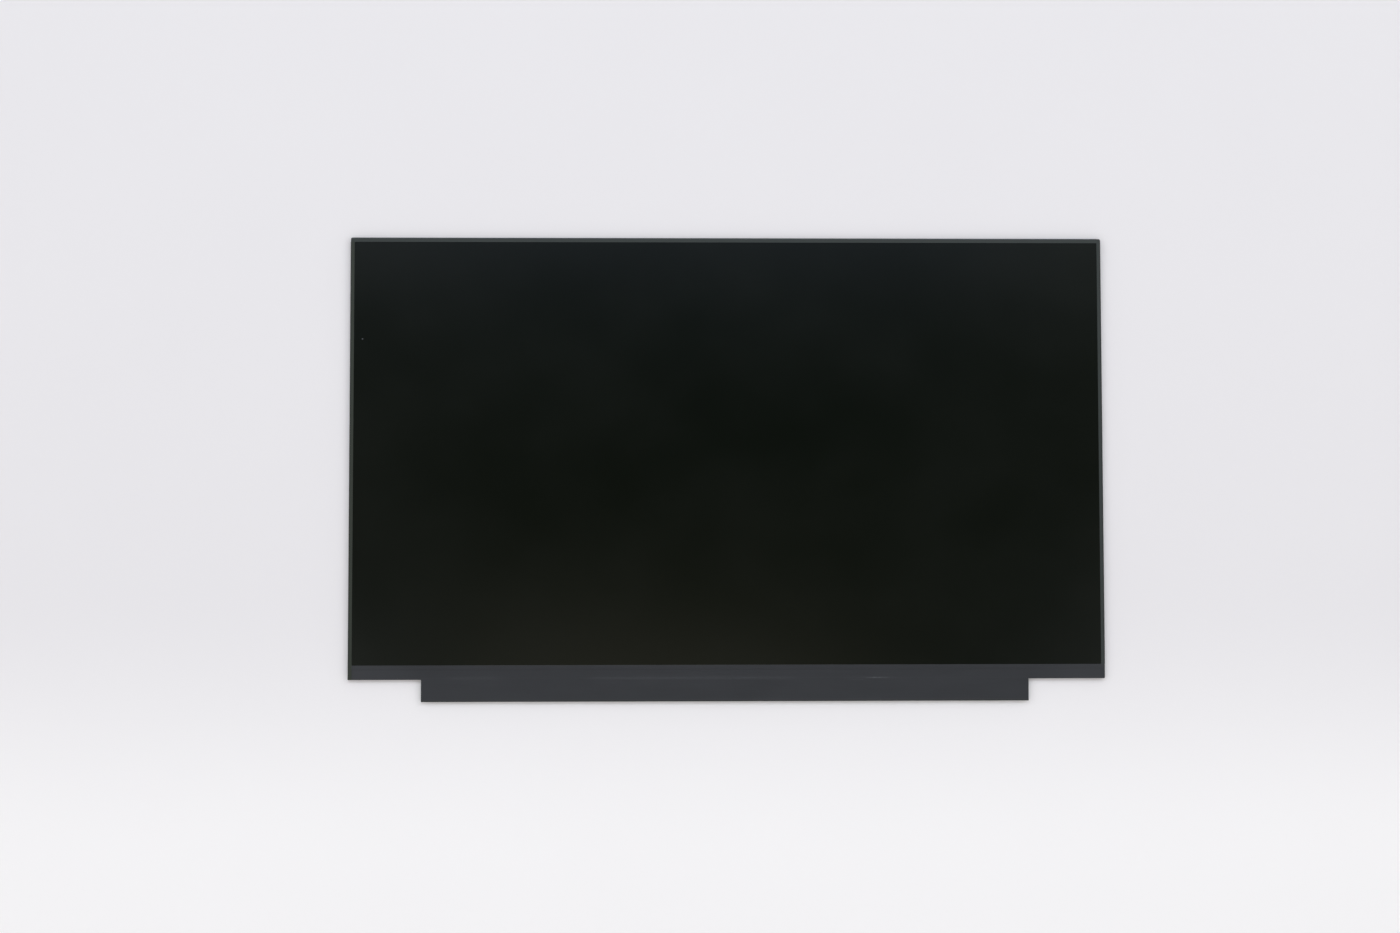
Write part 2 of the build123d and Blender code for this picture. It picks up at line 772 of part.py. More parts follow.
# Cover tape: lies on the filter glass, steps down over the films and folds round the board's edge
tape_mid = tape_thickness / 2
strip_left_x = -screen_x
strip_right_x = module_x - strip_right_inset
fold_y = flap_bottom_y + tape_mid
with BuildPart() as cover_tape:
    with BuildSketch(Plane.YZ.offset(strip_left_x)):
        with BuildLine():
            FilletPolyline(
                (strip_top_y, front_z + tape_mid),
                (filter_bottom_y - fold_gap, front_z + tape_mid),
                (filter_bottom_y - strip_step_run, film_top_z + tape_mid),
                (fold_y, film_top_z + tape_mid),
                (fold_y, board_z - tape_mid),
                (fold_y + wrap_reach, board_z - tape_mid),
                radius=[strip_step_radius, strip_step_radius, fold_gap, fold_gap],
            )
        trace(line_width=tape_thickness)
    extrude(amount=strip_right_x - strip_left_x)
    with BuildSketch():
        edge_rectangle(-module_x, flap_left_x, flap_bottom_y - wrap_reach, module_bottom_y)
        edge_rectangle(flap_right_x, module_x, flap_bottom_y - wrap_reach, module_bottom_y)
    extrude(amount=front_z, mode=Mode.SUBTRACT)
    with BuildSketch():
        edge_rectangle(
            socket_x - socket_half - shell_foot - wrap_socket_gap,
            socket_x + socket_half + shell_foot + wrap_socket_gap,
            board_bottom_y,
            board_top_y,
        )
    extrude(amount=board_z + board_thickness / 2, mode=Mode.SUBTRACT)
write(cover_tape, "cover_tape")

# Edge tapes: one leg on the front rim, one down the side. The top tape covers the left corner and the
# right tape covers the right one
tape_low_z = front_z + tape_thickness - tape_drop
tape_end_x = frame_x - corner_radius - tape_end_margin
tape_end_y = frame_top_y - corner_radius - tape_end_margin
with BuildPart() as top_edge_tape:
    with BuildSketch(Plane.YZ.offset(-tape_end_x)):
        with BuildLine():
            FilletPolyline(
                (module_top_y - top_rim, front_z + tape_mid),
                (module_top_y - tape_mid, front_z + tape_mid),
                (module_top_y - tape_mid, tape_low_z),
                radius=fold_radius + tape_mid,
            )
        trace(line_width=tape_thickness)
    extrude(amount=tape_end_x + screen_x)
write(top_edge_tape, "top_edge_tape")

with BuildPart() as left_edge_tape:
    with BuildSketch(Plane.XZ.offset(-screen_top_y)):
        with BuildLine():
            FilletPolyline(
                (side_rim - module_x, front_z + tape_mid),
                (tape_mid - module_x, front_z + tape_mid),
                (tape_mid - module_x, tape_low_z),
                radius=fold_radius + tape_mid,
            )
        trace(line_width=tape_thickness)
    extrude(amount=screen_top_y - module_bottom_y)
write(left_edge_tape, "left_edge_tape")

with BuildPart() as right_edge_tape:
    with BuildSketch(Plane.XZ.offset(-tape_end_y)):
        with BuildLine():
            FilletPolyline(
                (module_x - side_rim, front_z + tape_mid),
                (module_x - tape_mid, front_z + tape_mid),
                (module_x - tape_mid, tape_low_z),
                radius=fold_radius + tape_mid,
            )
        trace(line_width=tape_thickness)
    extrude(amount=tape_end_y - screen_bottom_y)
write(right_edge_tape, "right_edge_tape")
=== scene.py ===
import math
import random

import bmesh
import bpy
from mathutils import Matrix, Vector


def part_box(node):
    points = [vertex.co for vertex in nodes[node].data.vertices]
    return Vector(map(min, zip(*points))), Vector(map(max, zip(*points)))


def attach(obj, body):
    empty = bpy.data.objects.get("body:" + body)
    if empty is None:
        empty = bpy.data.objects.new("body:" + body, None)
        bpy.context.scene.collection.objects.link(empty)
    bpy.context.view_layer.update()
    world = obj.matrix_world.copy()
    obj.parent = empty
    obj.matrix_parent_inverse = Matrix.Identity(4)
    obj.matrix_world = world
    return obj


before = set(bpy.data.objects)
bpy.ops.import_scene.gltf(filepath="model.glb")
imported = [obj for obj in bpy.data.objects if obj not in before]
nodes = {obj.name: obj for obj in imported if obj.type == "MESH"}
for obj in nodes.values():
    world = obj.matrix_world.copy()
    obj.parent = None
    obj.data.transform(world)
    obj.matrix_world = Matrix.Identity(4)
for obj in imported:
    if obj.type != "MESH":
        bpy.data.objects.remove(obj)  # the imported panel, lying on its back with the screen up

mm = 0.001
noiseMiddle = 0.5
cellMiddle = 0.5
scene = bpy.context.scene
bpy.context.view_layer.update()  # CAD box, before any piece is added
scene.view_settings.view_transform = "Standard"
print("frame loaded:", len(nodes), "nodes")


def operator(operation, swapped=False):  # a method that adds one maths node
    def work(wire, other=0.0):
        return wire.sum(operation, other, wire) if swapped else wire.sum(operation, wire, other)

    return work


class Wire:
    # one output socket of a node tree; sums on wires add the nodes they need
    def __init__(self, tree, socket):
        self.tree = tree
        self.socket = socket

    def add(self, kind, settings=None, sockets=None, out=0):
        node = self.tree.nodes.new(kind)
        for name, value in (settings or {}).items():
            setattr(node, name, value)
        for name, value in (sockets or {}).items():
            if isinstance(value, Wire):
                self.tree.links.new(value.socket, node.inputs[name])
            else:
                node.inputs[name].default_value = value
        return Wire(self.tree, node.outputs[out])

    def sum(self, operation, first, second=0.0):
        return self.add("ShaderNodeMath", {"operation": operation}, {0: first, 1: second})

    __add__ = operator("ADD")
    __radd__ = operator("ADD", swapped=True)
    __sub__ = operator("SUBTRACT")
    __rsub__ = operator("SUBTRACT", swapped=True)
    __mul__ = operator("MULTIPLY")
    __rmul__ = operator("MULTIPLY", swapped=True)
    __truediv__ = operator("DIVIDE")
    __mod__ = operator("FLOORED_MODULO")
    __pow__ = operator("POWER")
    __gt__ = operator("GREATER_THAN")
    __lt__ = operator("LESS_THAN")
    __abs__ = operator("ABSOLUTE")


def larger(first, second):
    return first.sum("MAXIMUM", first, second)


def along(wire, axis):  # one coordinate of a point or a normal
    return wire.add("ShaderNodeSeparateXYZ", {}, {"Vector": wire}, axis)


def ease(wire, low, high):  # 0 below low, 1 above high, smooth between
    ends = {"Value": wire, "From Min": low, "From Max": high}
    return wire.add("ShaderNodeMapRange", {"interpolation_type": "SMOOTHSTEP"}, ends, "Result")


def band(wire, low, high, soft):  # 1 between low and high, with soft edges
    return ease(wire, low - soft, low + soft) * (1 - ease(wire, high - soft, high + soft))


def cell(wire, pitch):  # place in a cell that repeats, as a share of it, 0 in the middle
    return (wire / pitch) % 1.0 - cellMiddle


def apart(x, y):  # distance from the point where both are 0
    return (x * x + y * y) ** 0.5


def speckle(place, size, detail=2.0, rough=0.55):  # noise with features of that size, in millimetres
    sizes = size if isinstance(size, tuple) else (size, size, size)
    scaled = place.add("ShaderNodeMapping", {}, {"Vector": place, "Scale": [1 / s for s in sizes]})
    values = {"Vector": scaled, "Scale": 1.0, "Detail": detail, "Roughness": rough}
    return scaled.add("ShaderNodeTexNoise", {}, values, "Fac")


def swing(noise, reach):  # noise as a change up and down
    return (noise - noiseMiddle) * reach


def weigh(shares, *wires):  # the wires added up, each times its share
    total = wires[0] * shares[0]
    for share, wire in zip(shares[1:], wires[1:]):
        total = total + wire * share
    return total


def tint(factor, plain, marked):  # colour that goes from plain to marked
    ends = [end if isinstance(end, Wire) else (*end, 1) for end in (plain, marked)]
    return factor.add("ShaderNodeMix", {"data_type": "RGBA"}, {0: factor, 6: ends[0], 7: ends[1]}, 2)


def relief(height, depth):  # bump of that depth, in millimetres
    values = {"Height": height, "Distance": depth * mm, "Strength": 1.0}
    return height.add("ShaderNodeBump", {}, values, "Normal")


def startFinish(name, look):  # new material and the point on the object, in millimetres
    material = bpy.data.materials.new(name)
    material.use_nodes = True
    tree = material.node_tree
    shader = tree.nodes["Principled BSDF"]
    constants = {"Roughness": "roughness", "Specular IOR Level": "specular", "Metallic": "metallic"}
    for socket, key in constants.items():
        if key in look:
            shader.inputs[socket].default_value = look[key]
    corner = Wire(tree, tree.nodes.new("ShaderNodeTexCoord").outputs["Object"])
    place = corner.add("ShaderNodeVectorMath", {"operation": "SCALE"}, {0: corner, "Scale": 1 / mm})
    return material, place


def facing(place):  # the way the surface faces
    return place.add("ShaderNodeNewGeometry", {}, {}, "Normal")


def setFinish(material, look, colour, change, height, *names):  # link the shader, dress the nodes
    tree = material.node_tree
    shader = tree.nodes["Principled BSDF"]
    rough = look["roughness"] + change
    normal = relief(height, look["depth"])
    for socket, wire in (("Base Color", colour), ("Roughness", rough), ("Normal", normal)):
        tree.links.new(wire.socket, shader.inputs[socket])
    for name in names:
        for holder in nodes[name].material_slots:
            holder.material = material


def finishSheet(name, look):  # films and coats with one kind of grain
    film, place = startFinish(name, look)
    grain = speckle(place, look["size"], look["detail"])
    colour = tint(grain, look["dark"], look["pale"])
    setFinish(film, look, colour, swing(grain, look["grainRough"]), grain, *look["pieces"])
    return film


# Camera, above the screen at the photograph's angle

cameraLook = dict(
    place=(-31.95, -53.93, 930.86),  # millimetres
    turn=(2.900, -1.181, -0.079),  # degrees
    lens=51.429,
)


def placeCamera(look):
    spot = [v * mm for v in look["place"]]
    turn = [math.radians(v) for v in look["turn"]]
    bpy.ops.object.camera_add(location=spot, rotation=turn)
    camera = bpy.context.object
    camera.name = "photoCamera"
    camera.data.lens = look["lens"]
    camera.data.dof.use_dof = False
    scene.camera = camera


placeCamera(cameraLook)
print("camera placed")

# Studio: a pale sky that is darker overhead, soft boxes round the camera, pale floor painted lighter
# towards the picture's lower edge

skyLook = dict(
    horizon=(0.718, 0.718, 0.718), overhead=(0.036, 0.050, 0.036),
    middle=(0.030, 0.055),  # where the dark part sits, as a lean from straight up
    stretch=(0.74, 1.0), darkEdge=(0.06, 0.34),
    below=(0.13, 0.13, 0.14),  # dark stripes under the floor, seen by the back only
    belowEdge=(0.08, 0.22),  # how far below the horizon they begin and are full
    belowLean=(0.55, 0.83),  # the way the stripes follow each other
    belowPitch=0.62,
    stripe=(0.3, 0.7, 0.2),  # from, to and softness, as shares of the pitch
)


def makeSky(look):
    sky = bpy.data.worlds.new("studioSky")
    sky.use_nodes = True
    scene.world = sky
    tree = sky.node_tree
    way = Wire(tree, tree.nodes.new("ShaderNodeTexCoord").outputs["Generated"])
    acrossX = (along(way, "X") - look["middle"][0]) * look["stretch"][0]
    acrossY = (along(way, "Y") - look["middle"][1]) * look["stretch"][1]
    lean = apart(acrossX, acrossY)
    height = along(way, "Z")
    rim = 1 - (1 - ease(lean, *look["darkEdge"])) * (height > 0.0)
    above = tint(rim, look["overhead"], look["horizon"])
    step = along(way, "X") * look["belowLean"][0] + along(way, "Y") * look["belowLean"][1]
    stripe = band((step / look["belowPitch"]) % 1.0, *look["stripe"])
    stripe = stripe * ease(height * -1, *look["belowEdge"])
    colour = tint(stripe, above, look["below"])
    tree.links.new(colour.socket, tree.nodes["Background"].inputs["Color"])


makeSky(skyLook)

lampLooks = dict(  # metres and watts
    topBox=dict(place=(0.0, 0.70, 1.3), size=(1.7, 0.7), power=6.1, colour=(0.79, 0.92, 1.0)),
    farGlow=dict(place=(0.0, 0.42, 1.45), size=(0.9, 0.12), power=0.28, colour=(0.22, 0.30, 1.0)),
    leftBox=dict(place=(-1.25, 0.1, 1.1), size=(1.1, 0.6), power=2.6, colour=(0.98, 0.99, 1.0)),
    rightBox=dict(place=(1.25, 0.1, 1.1), size=(1.1, 0.6), power=2.6, colour=(0.98, 0.99, 1.0)),
    warmFill=dict(place=(-0.03, -0.27, 1.45), size=(0.48, 0.26), power=0.48, colour=(1.0, 0.9, 0.70)),
    lowLeft=dict(place=(-0.49, -0.26, 1.45), size=(0.20, 0.18), power=0.24, colour=(0.98, 1.0, 0.98)),
    lowRight=dict(place=(0.60, -0.25, 1.45), size=(0.20, 0.18), power=0.21, colour=(0.98, 0.98, 1.0)),
)


def hangLamp(name, look):
    bpy.ops.object.light_add(type="AREA", location=look["place"])
    lamp = bpy.context.object
    lamp.name = name
    lamp.data.shape = "RECTANGLE"
    lamp.data.size = look["size"][0]
    lamp.data.size_y = look["size"][1]
    lamp.data.energy = look["power"]
    lamp.data.color = look["colour"]
    lamp.rotation_euler = Vector(look["place"]).to_track_quat("Z", "Y").to_euler()


for lampName, lampLook in lampLooks.items():
    hangLamp(lampName, lampLook)

floorLook = dict(
    side=30.0,  # metres
    drop=0.05,  # millimetres below the panel, so that the two faces don't meet
    # far is the floor's own colour; near is painted light, the lighter colour towards the picture's lower
    # edge
    far=(0.806, 0.774, 0.790), near=(0.952, 0.922, 0.924),
    paintedLightEdge=(60.0, 190.0),  # painted light: where the floor is painted lighter, towards the lower edge of the picture
    mottleSize=90,
    shares=(0.9, 0.1),  # the painted lighter band and the mottle in the colour
    roughness=0.9, specular=0.1,
    seeThrough=12.0,  # light from below reaches the back
    fadeEdge=(650.0, 2400.0),  # further out the floor fades into the horizon
)


def layFloor(look):
    bpy.ops.object.select_all(action="DESELECT")
    bpy.ops.mesh.primitive_plane_add(size=look["side"], location=(0, 0, -look["drop"] * mm))
    floor = bpy.context.object
    floor.name = "paleFloor"
    bpy.ops.object.transform_apply(location=True)
    paper, place = startFinish("paperFloor", look)
    x = along(place, "X")
    y = along(place, "Y")
    # painted light: the floor grows lighter towards the picture's lower edge
    paintedLightBand = ease(y * -1, *look["paintedLightEdge"])
    fade = ease(apart(x, y), *look["fadeEdge"])
    mottle = speckle(place, look["mottleSize"])
    colour = tint(weigh(look["shares"], paintedLightBand, mottle), look["far"], look["near"])
    tree = paper.node_tree
    shader = tree.nodes["Principled BSDF"]
    tree.links.new(colour.socket, shader.inputs["Base Color"])
    clear = place.add("ShaderNodeBsdfTransparent", {}, {}, "BSDF")
    below = place.add("ShaderNodeNewGeometry", {}, {}, "Backfacing")
    close = place.add("ShaderNodeLightPath", {}, {}, "Ray Length") < look["seeThrough"] * mm
    solid = Wire(tree, shader.outputs["BSDF"])
    gone = larger(larger(below, close), fade)
    shown = clear.add("ShaderNodeMixShader", {}, {0: gone, 1: solid, 2: clear})
    tree.links.new(shown.socket, tree.nodes["Material Output"].inputs["Surface"])
    floor.data.materials.append(paper)


layFloor(floorLook)
print("studio ready")

# Front: screen film, cover tape, edge tapes, moulded frame

screenLook = dict(
    black=(0.0009, 0.0021, 0.0005), haze=(0.0016, 0.0028, 0.0011), specular=0.185,
    cloudSize=(70, 55, 70), hazeEdge=(0.35, 0.7), grainSize=0.13, depth=0.0012,
    roughness=0.22, cloudRough=0.08, grainRough=0.1, speckPlace=(-169.5, 52.5), speckSize=0.42,
    speckCore=0.7,  # share of the speck that is full
    speckFlat=1.6,  # it is a little wider than high
    speckRagged=0.3, speckRough=0.4, speckColour=(0.075, 0.077, 0.086),
)


def finishScreen(look):
    film, place = startFinish("screenFilm", look)
    cloud = speckle(place, look["cloudSize"])
    grain = speckle(place, look["grainSize"], detail=1.0)
    acrossX = along(place, "X") - look["speckPlace"][0]
    acrossY = along(place, "Y") - look["speckPlace"][1]
    reach = (acrossX * acrossX + acrossY * acrossY * look["speckFlat"]) ** 0.5
    ragged = reach + swing(grain, look["speckRagged"])
    speck = 1 - ease(ragged, look["speckSize"] * look["speckCore"], look["speckSize"])
    black = tint(ease(cloud, *look["hazeEdge"]), look["black"], look["haze"])
    change = swing(cloud, look["cloudRough"]) + swing(grain, look["grainRough"])
    colour = tint(speck, black, look["speckColour"])
    change = change + speck * look["speckRough"]
    setFinish(film, look, colour, change, grain, "front_polarizer")


finishScreen(screenLook)

stripLow, stripHigh = [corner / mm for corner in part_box("cover_tape")]
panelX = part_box("right_edge_tape")[1].x / mm
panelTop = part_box("top_edge_tape")[1].y / mm
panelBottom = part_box("left_edge_tape")[0].y / mm

coverTapeLook = dict(
    dark=(0.0080, 0.0093, 0.0128), pale=(0.0272, 0.0286, 0.0335),
    rubbed=(0.075, 0.078, 0.086), specular=0.36, streakSize=(14.0, 0.42, 4.0),
    cloudSize=(26, 9, 26), grainSize=0.22,
    shares=(0.45, 0.4, 0.15),  # streaks, clouds and grain in the colour
    depth=0.012,
    bumpShares=(0.7, 0.5),  # grain and streaks
    creaseBump=0.6, roughness=0.50, streakRough=0.14, cloudRough=0.1, wornRough=0.2,
    rubLines=dict(  # up from the body's lower edge; each run has its start, end and strength
        crease=dict(up=0.64, half=0.22, edge=0.1, ends=1.2, runs=(  # on the edge of the frame's lower wall
            (64.0, 74.5, 0.42),
            (67.0, 71.5, 0.45),
            (4.0, 13.0, 0.12),
            (-63.5, -17.0, 0.08),
        )),
        softCrease=dict(up=0.64, half=0.8, edge=0.5, ends=5.0, runs=(  # wider and fainter
            (-130.0, -106.0, 0.13),
            (-64.0, 30.0, 0.15),
            (56.0, 76.0, 0.08),
        )),
        lowScuff=dict(up=-0.40, half=0.1, edge=0.1, ends=1.5, runs=((57.0, 63.6, 0.30),)),
    ),
    creaseRub=0.06,  # all along the crease
    brokenSize=(1.6, 0.14, 1.0),  # the rubs are broken up, down to the least
    # the last entry on the next line and the two lines after it are a painted highlight along the strip's
    # upper edge: its strength, and where it starts and ends
    brokenEdge=(0.42, 0.62), brokenLeast=0.35, upperEdgeHighlight=0.05,
    topFrom=0.5,  # down from the strip's upper edge
    topTo=0.05,
    # painted highlight: a lighter line just above the fold at the strip's lower edge
    foldHighlight=dict(colour=(0.030, 0.032, 0.033), share=0.5, reach=(0.45, 1.0, 0.2)),
    foldShade=dict(colour=(0.010, 0.0108, 0.0105), share=0.8, reach=(0.25, 0.55)),
    endEdge=(135.0, 172.0),  # a little dust towards the two ends
    endDust=0.26,
)


def rubLine(y, look):  # a line along the strip
    middle = panelBottom + look["up"]
    return band(y, middle - look["half"], middle + look["half"], look["edge"])


def finishCoverTape(look):
    film, place = startFinish("coverTapeFilm", look)
    x = along(place, "X")
    y = along(place, "Y")
    streak = speckle(place, look["streakSize"], detail=3.0)
    cloud = speckle(place, look["cloudSize"])
    grain = speckle(place, look["grainSize"])
    lines = {name: rubLine(y, rub) for name, rub in look["rubLines"].items()}
    rubbed = lines["crease"] * look["creaseRub"]
    for name, rub in look["rubLines"].items():
        for start, end, strength in rub["runs"]:
            rubbed = rubbed + lines[name] * band(x, start, end, rub["ends"]) * strength
    broken = ease(speckle(place, look["brokenSize"], detail=3.0), *look["brokenEdge"])
    worn = rubbed * (look["brokenLeast"] + (1 - look["brokenLeast"]) * broken)
    # painted highlight: the strip's upper edge is painted lighter
    topHighlightEdge = ease(y, stripHigh.y - look["topFrom"], stripHigh.y - look["topTo"])
    upFromFold = y - stripLow.y
    # painted highlight just above the fold, then painted shade along its lowest edge
    foldHighlight = band(upFromFold, *look["foldHighlight"]["reach"])
    foldShade = 1 - ease(upFromFold, *look["foldShade"]["reach"])
    dust = ease(abs(x), *look["endEdge"]) * look["endDust"]
    plain = tint(weigh(look["shares"], streak, cloud, grain) + dust, look["dark"], look["pale"])
    lined = tint(foldHighlight * look["foldHighlight"]["share"], plain, look["foldHighlight"]["colour"])
    shaded = tint(foldShade * look["foldShade"]["share"], lined, look["foldShade"]["colour"])
    change = swing(streak, look["streakRough"]) + swing(cloud, look["cloudRough"])
    bumps = weigh(look["bumpShares"], grain, streak) - lines["crease"] * look["creaseBump"]
    # the rubbed colour serves the real wear and also the painted highlight on the upper edge
    colour = tint(worn + topHighlightEdge * look["upperEdgeHighlight"], shaded, look["rubbed"])
    change = change + worn * look["wornRough"]
    setFinish(film, look, colour, change, bumps, "cover_tape")


finishCoverTape(coverTapeLook)

edgeTapeLook = dict(
    rightFilm=dict(dark=(0.0170, 0.0222, 0.0205), pale=(0.0270, 0.0330, 0.0310)),
    leftFilm=dict(dark=(0.0138, 0.0184, 0.0118), pale=(0.0226, 0.0278, 0.0190)),
    specular=0.36,
    shares=(0.6, 0.4),  # clouds and grain in the colour
    # painted shade: a darker line along the panel's left and right sides
    sideShade=(0.012, 0.014, 0.012), sideShare=0.9,
    sideEdge=(0.35, 0.6),  # in from the panel's side
    # painted highlight: a lighter line along the panel's top edge, and how far in it reaches
    topHighlight=(0.050, 0.057, 0.062), topShare=0.6, topHighlightEdge=(0.25, 0.7), grainSize=0.2,
    depth=0.010, cloudSize=12, roughness=0.48, cloudRough=0.12, grainRough=0.1,
)


def finishEdgeTape(look, name, *pieces):
    film, place = startFinish(name, look)
    grain = speckle(place, look["grainSize"])
    cloud = speckle(place, look["cloudSize"], detail=3.0)
    # painted shade along the two sides
    sideShade = 1 - ease(panelX - abs(along(place, "X")), *look["sideEdge"])
    # painted highlight along the top, left out where the painted side shade is
    topHighlight = 1 - ease(panelTop - along(place, "Y"), *look["topHighlightEdge"])
    plain = tint(weigh(look["shares"], cloud, grain), look[name]["dark"], look[name]["pale"])
    lined = tint(sideShade * look["sideShare"], plain, look["sideShade"])
    colour = tint(topHighlight * look["topShare"] * (1 - sideShade), lined, look["topHighlight"])
    change = swing(cloud, look["cloudRough"]) + swing(grain, look["grainRough"])
    setFinish(film, look, colour, change, grain, *pieces)


finishEdgeTape(edgeTapeLook, "rightFilm", "top_edge_tape", "right_edge_tape")
finishEdgeTape(edgeTapeLook, "leftFilm", "left_edge_tape")  # a little more olive

frameLook = dict(
    black=(0.012, 0.0125, 0.0125), dusty=(0.022, 0.023, 0.023), specular=0.42,
    grainSize=0.09, depth=0.006, flowSize=(9, 3, 3),
    shares=(0.7, 0.3),  # flow lines and grain in the colour
    roughness=0.52, flowRough=0.15,
)


def finishMouldFrame(look):
    plastic, place = startFinish("framePlastic", look)
    grain = speckle(place, look["grainSize"])
    flow = speckle(place, look["flowSize"], detail=3.0)
    colour = tint(weigh(look["shares"], flow, grain), look["black"], look["dusty"])
    change = swing(flow, look["flowRough"])
    setFinish(plastic, look, colour, change, grain, "mould_frame")


finishMouldFrame(frameLook)
print("front finished")

# Back: stamped cover, board and everything on it

coverLook = dict(
    metal=(0.65, 0.66, 0.675), bright=(0.79, 0.795, 0.805), rollSize=(70, 0.16, 10),
    depth=0.003, streakSize=(150, 1.4, 20), cloudSize=(34, 22, 34), softEdge=(0.3, 0.7),
    smudgeSize=(9, 7, 9), smudgeEdge=(0.52, 0.75),
    shares=(0.4, 0.3, 0.3),  # roll lines, streaks and clouds in the colour
    metallic=1.0, roughness=0.25, rollRough=0.14,
    roughShares=(0.03, 0.04, 0.05),  # streaks, clouds and smudges
)


def finishBackCover(look):
    metal, place = startFinish("coverMetal", look)
    roll = speckle(place, look["rollSize"], detail=4.0, rough=0.65)
    streak = ease(speckle(place, look["streakSize"], detail=4.0, rough=0.6), *look["softEdge"])
    cloud = ease(speckle(place, look["cloudSize"], detail=3.0), *look["softEdge"])
    smudge = ease(speckle(place, look["smudgeSize"], detail=4.0), *look["smudgeEdge"])
    marks = weigh(look["roughShares"], streak, cloud, smudge)
    colour = tint(weigh(look["shares"], roll, streak, cloud), look["metal"], look["bright"])
    change = swing(roll, look["rollRough"]) + marks
    setFinish(metal, look, colour, change, roll, "back_cover")


finishBackCover(coverLook)

boardLook = dict(
    mask=(0.012, 0.085, 0.036), pour=(0.026, 0.150, 0.062),
    edge=(0.33, 0.30, 0.14), weave=0.45,
    pourStep=(4.2, 1.15, 40.0),  # the copper pours have square corners
    pourSize=(11.0, 3.5, 40.0), pourEdge=(0.40, 0.44), dustSize=3, cutEdge=(0.4, 0.6),
    shares=(0.8, 0.12, 0.08),  # pours, weave and dust in the colour
    bumpShares=(0.8, 0.15),  # pours and weave
    depth=0.02, roughness=0.26, dustRough=0.12, cutRough=0.4,
)


def finishBoard(look):
    laminate, place = startFinish("boardLaminate", look)
    x = cell(along(place, "X"), look["weave"])
    y = cell(along(place, "Y"), look["weave"])
    weave = abs(x) + abs(y)
    blocks = place.add("ShaderNodeVectorMath", {"operation": "SNAP"}, {0: place, 1: look["pourStep"]})
    pour = ease(speckle(blocks, look["pourSize"], detail=0.0), *look["pourEdge"])
    dust = speckle(place, look["dustSize"], detail=3.0)
    cut = 1 - ease(abs(along(facing(place), "Z")), *look["cutEdge"])
    green = tint(weigh(look["shares"], pour, weave, dust), look["mask"], look["pour"])
    colour = tint(cut, green, look["edge"])
    change = dust * look["dustRough"] + cut * look["cutRough"]
    setFinish(laminate, look, colour, change, weigh(look["bumpShares"], pour, weave), "control_board")


finishBoard(boardLook)

chips = ("timing_chip", "memory_chip", "power_chip", "buffer_chip", "light_driver_chip")
coils = ("power_coils", "boost_coil")
ceramics = ("large_capacitors", "small_capacitors", "resistors", "fuse")

compoundLook = dict(  # moulded plastics and ceramics
    specular=0.4,
    wideTimes=(14, 9, 14),  # clouds, as times the grain
    shares=(0.55, 0.45),  # grain and clouds in the colour
    fineRough=0.18, wideRough=0.1, depth=0.008,
)

mouldingLooks = dict(
    chipPlastic=dict(
        pieces=chips, grain=0.07, roughness=0.46,
        dark=(0.018, 0.018, 0.019), pale=(0.034, 0.034, 0.036),
    ),
    diodePlastic=dict(
        pieces=("diodes",), grain=0.06, roughness=0.44,
        dark=(0.016, 0.016, 0.016), pale=(0.03, 0.03, 0.03),
    ),
    socketPlastic=dict(
        pieces=("socket_housing",), grain=0.09, roughness=0.42,
        dark=(0.03, 0.03, 0.029), pale=(0.05, 0.05, 0.048),
    ),
    coilFerrite=dict(
        pieces=coils, grain=0.05, roughness=0.5,
        dark=(0.09, 0.09, 0.095), pale=(0.15, 0.15, 0.155),
    ),
    capacitorCeramic=dict(
        pieces=("large_capacitors", "small_capacitors"), grain=0.12, roughness=0.4,
        dark=(0.36, 0.22, 0.115), pale=(0.47, 0.31, 0.18),
    ),
    fuseCeramic=dict(
        pieces=("fuse",), grain=0.1, roughness=0.38,
        dark=(0.62, 0.62, 0.56), pale=(0.76, 0.75, 0.70),
    ),
    driverSilicon=dict(
        pieces=("driver_chips",), grain=0.3, depth=0.001, roughness=0.14,
        dark=(0.10, 0.10, 0.11), pale=(0.15, 0.15, 0.165),
    ),
    darkTape=dict(
        pieces=("shading_tape",), grain=0.2, roughness=0.55,
        dark=(0.012, 0.012, 0.012), pale=(0.02, 0.02, 0.02),
    ),
)


def finishGrained(name, look, wideSize):  # fine grain with wider clouds
    material, place = startFinish(name, look)
    fine = speckle(place, look["grain"], detail=3.0)
    wide = speckle(place, wideSize)
    colour = tint(weigh(look["shares"], fine, wide), look["dark"], look["pale"])
    change = swing(fine, look["fineRough"]) + swing(wide, look["wideRough"])
    setFinish(material, look, colour, change, fine, *look["pieces"])
    return material


def finishMoulding(name, look):
    wideSize = tuple(look["grain"] * times for times in compoundLook["wideTimes"])
    return finishGrained(name, compoundLook | look, wideSize)


for mouldingName, mouldingLook in mouldingLooks.items():
    finishMoulding(mouldingName, mouldingLook)

resistorLook = dict(
    coat=(0.014, 0.014, 0.015), body=(0.68, 0.67, 0.63), grain=0.05,
    depth=0.004, coatEdge=(0.4, 0.6), coatLeast=0.92, roughness=0.5, coatShine=0.22, grainRough=0.1,
)


def finishResistors(look):  # white bodies with a black coat on the side away from the board
    ceramic, place = startFinish("resistorCeramic", look)
    grain = speckle(place, look["grain"])
    coat = ease(along(facing(place), "Z") * -1, *look["coatEdge"])
    cover = coat * (look["coatLeast"] + grain * (1 - look["coatLeast"]))
    colour = tint(cover, look["body"], look["coat"])
    change = swing(grain, look["grainRough"]) - coat * look["coatShine"]
    setFinish(ceramic, look, colour, change, grain, "resistors")


finishResistors(resistorLook)

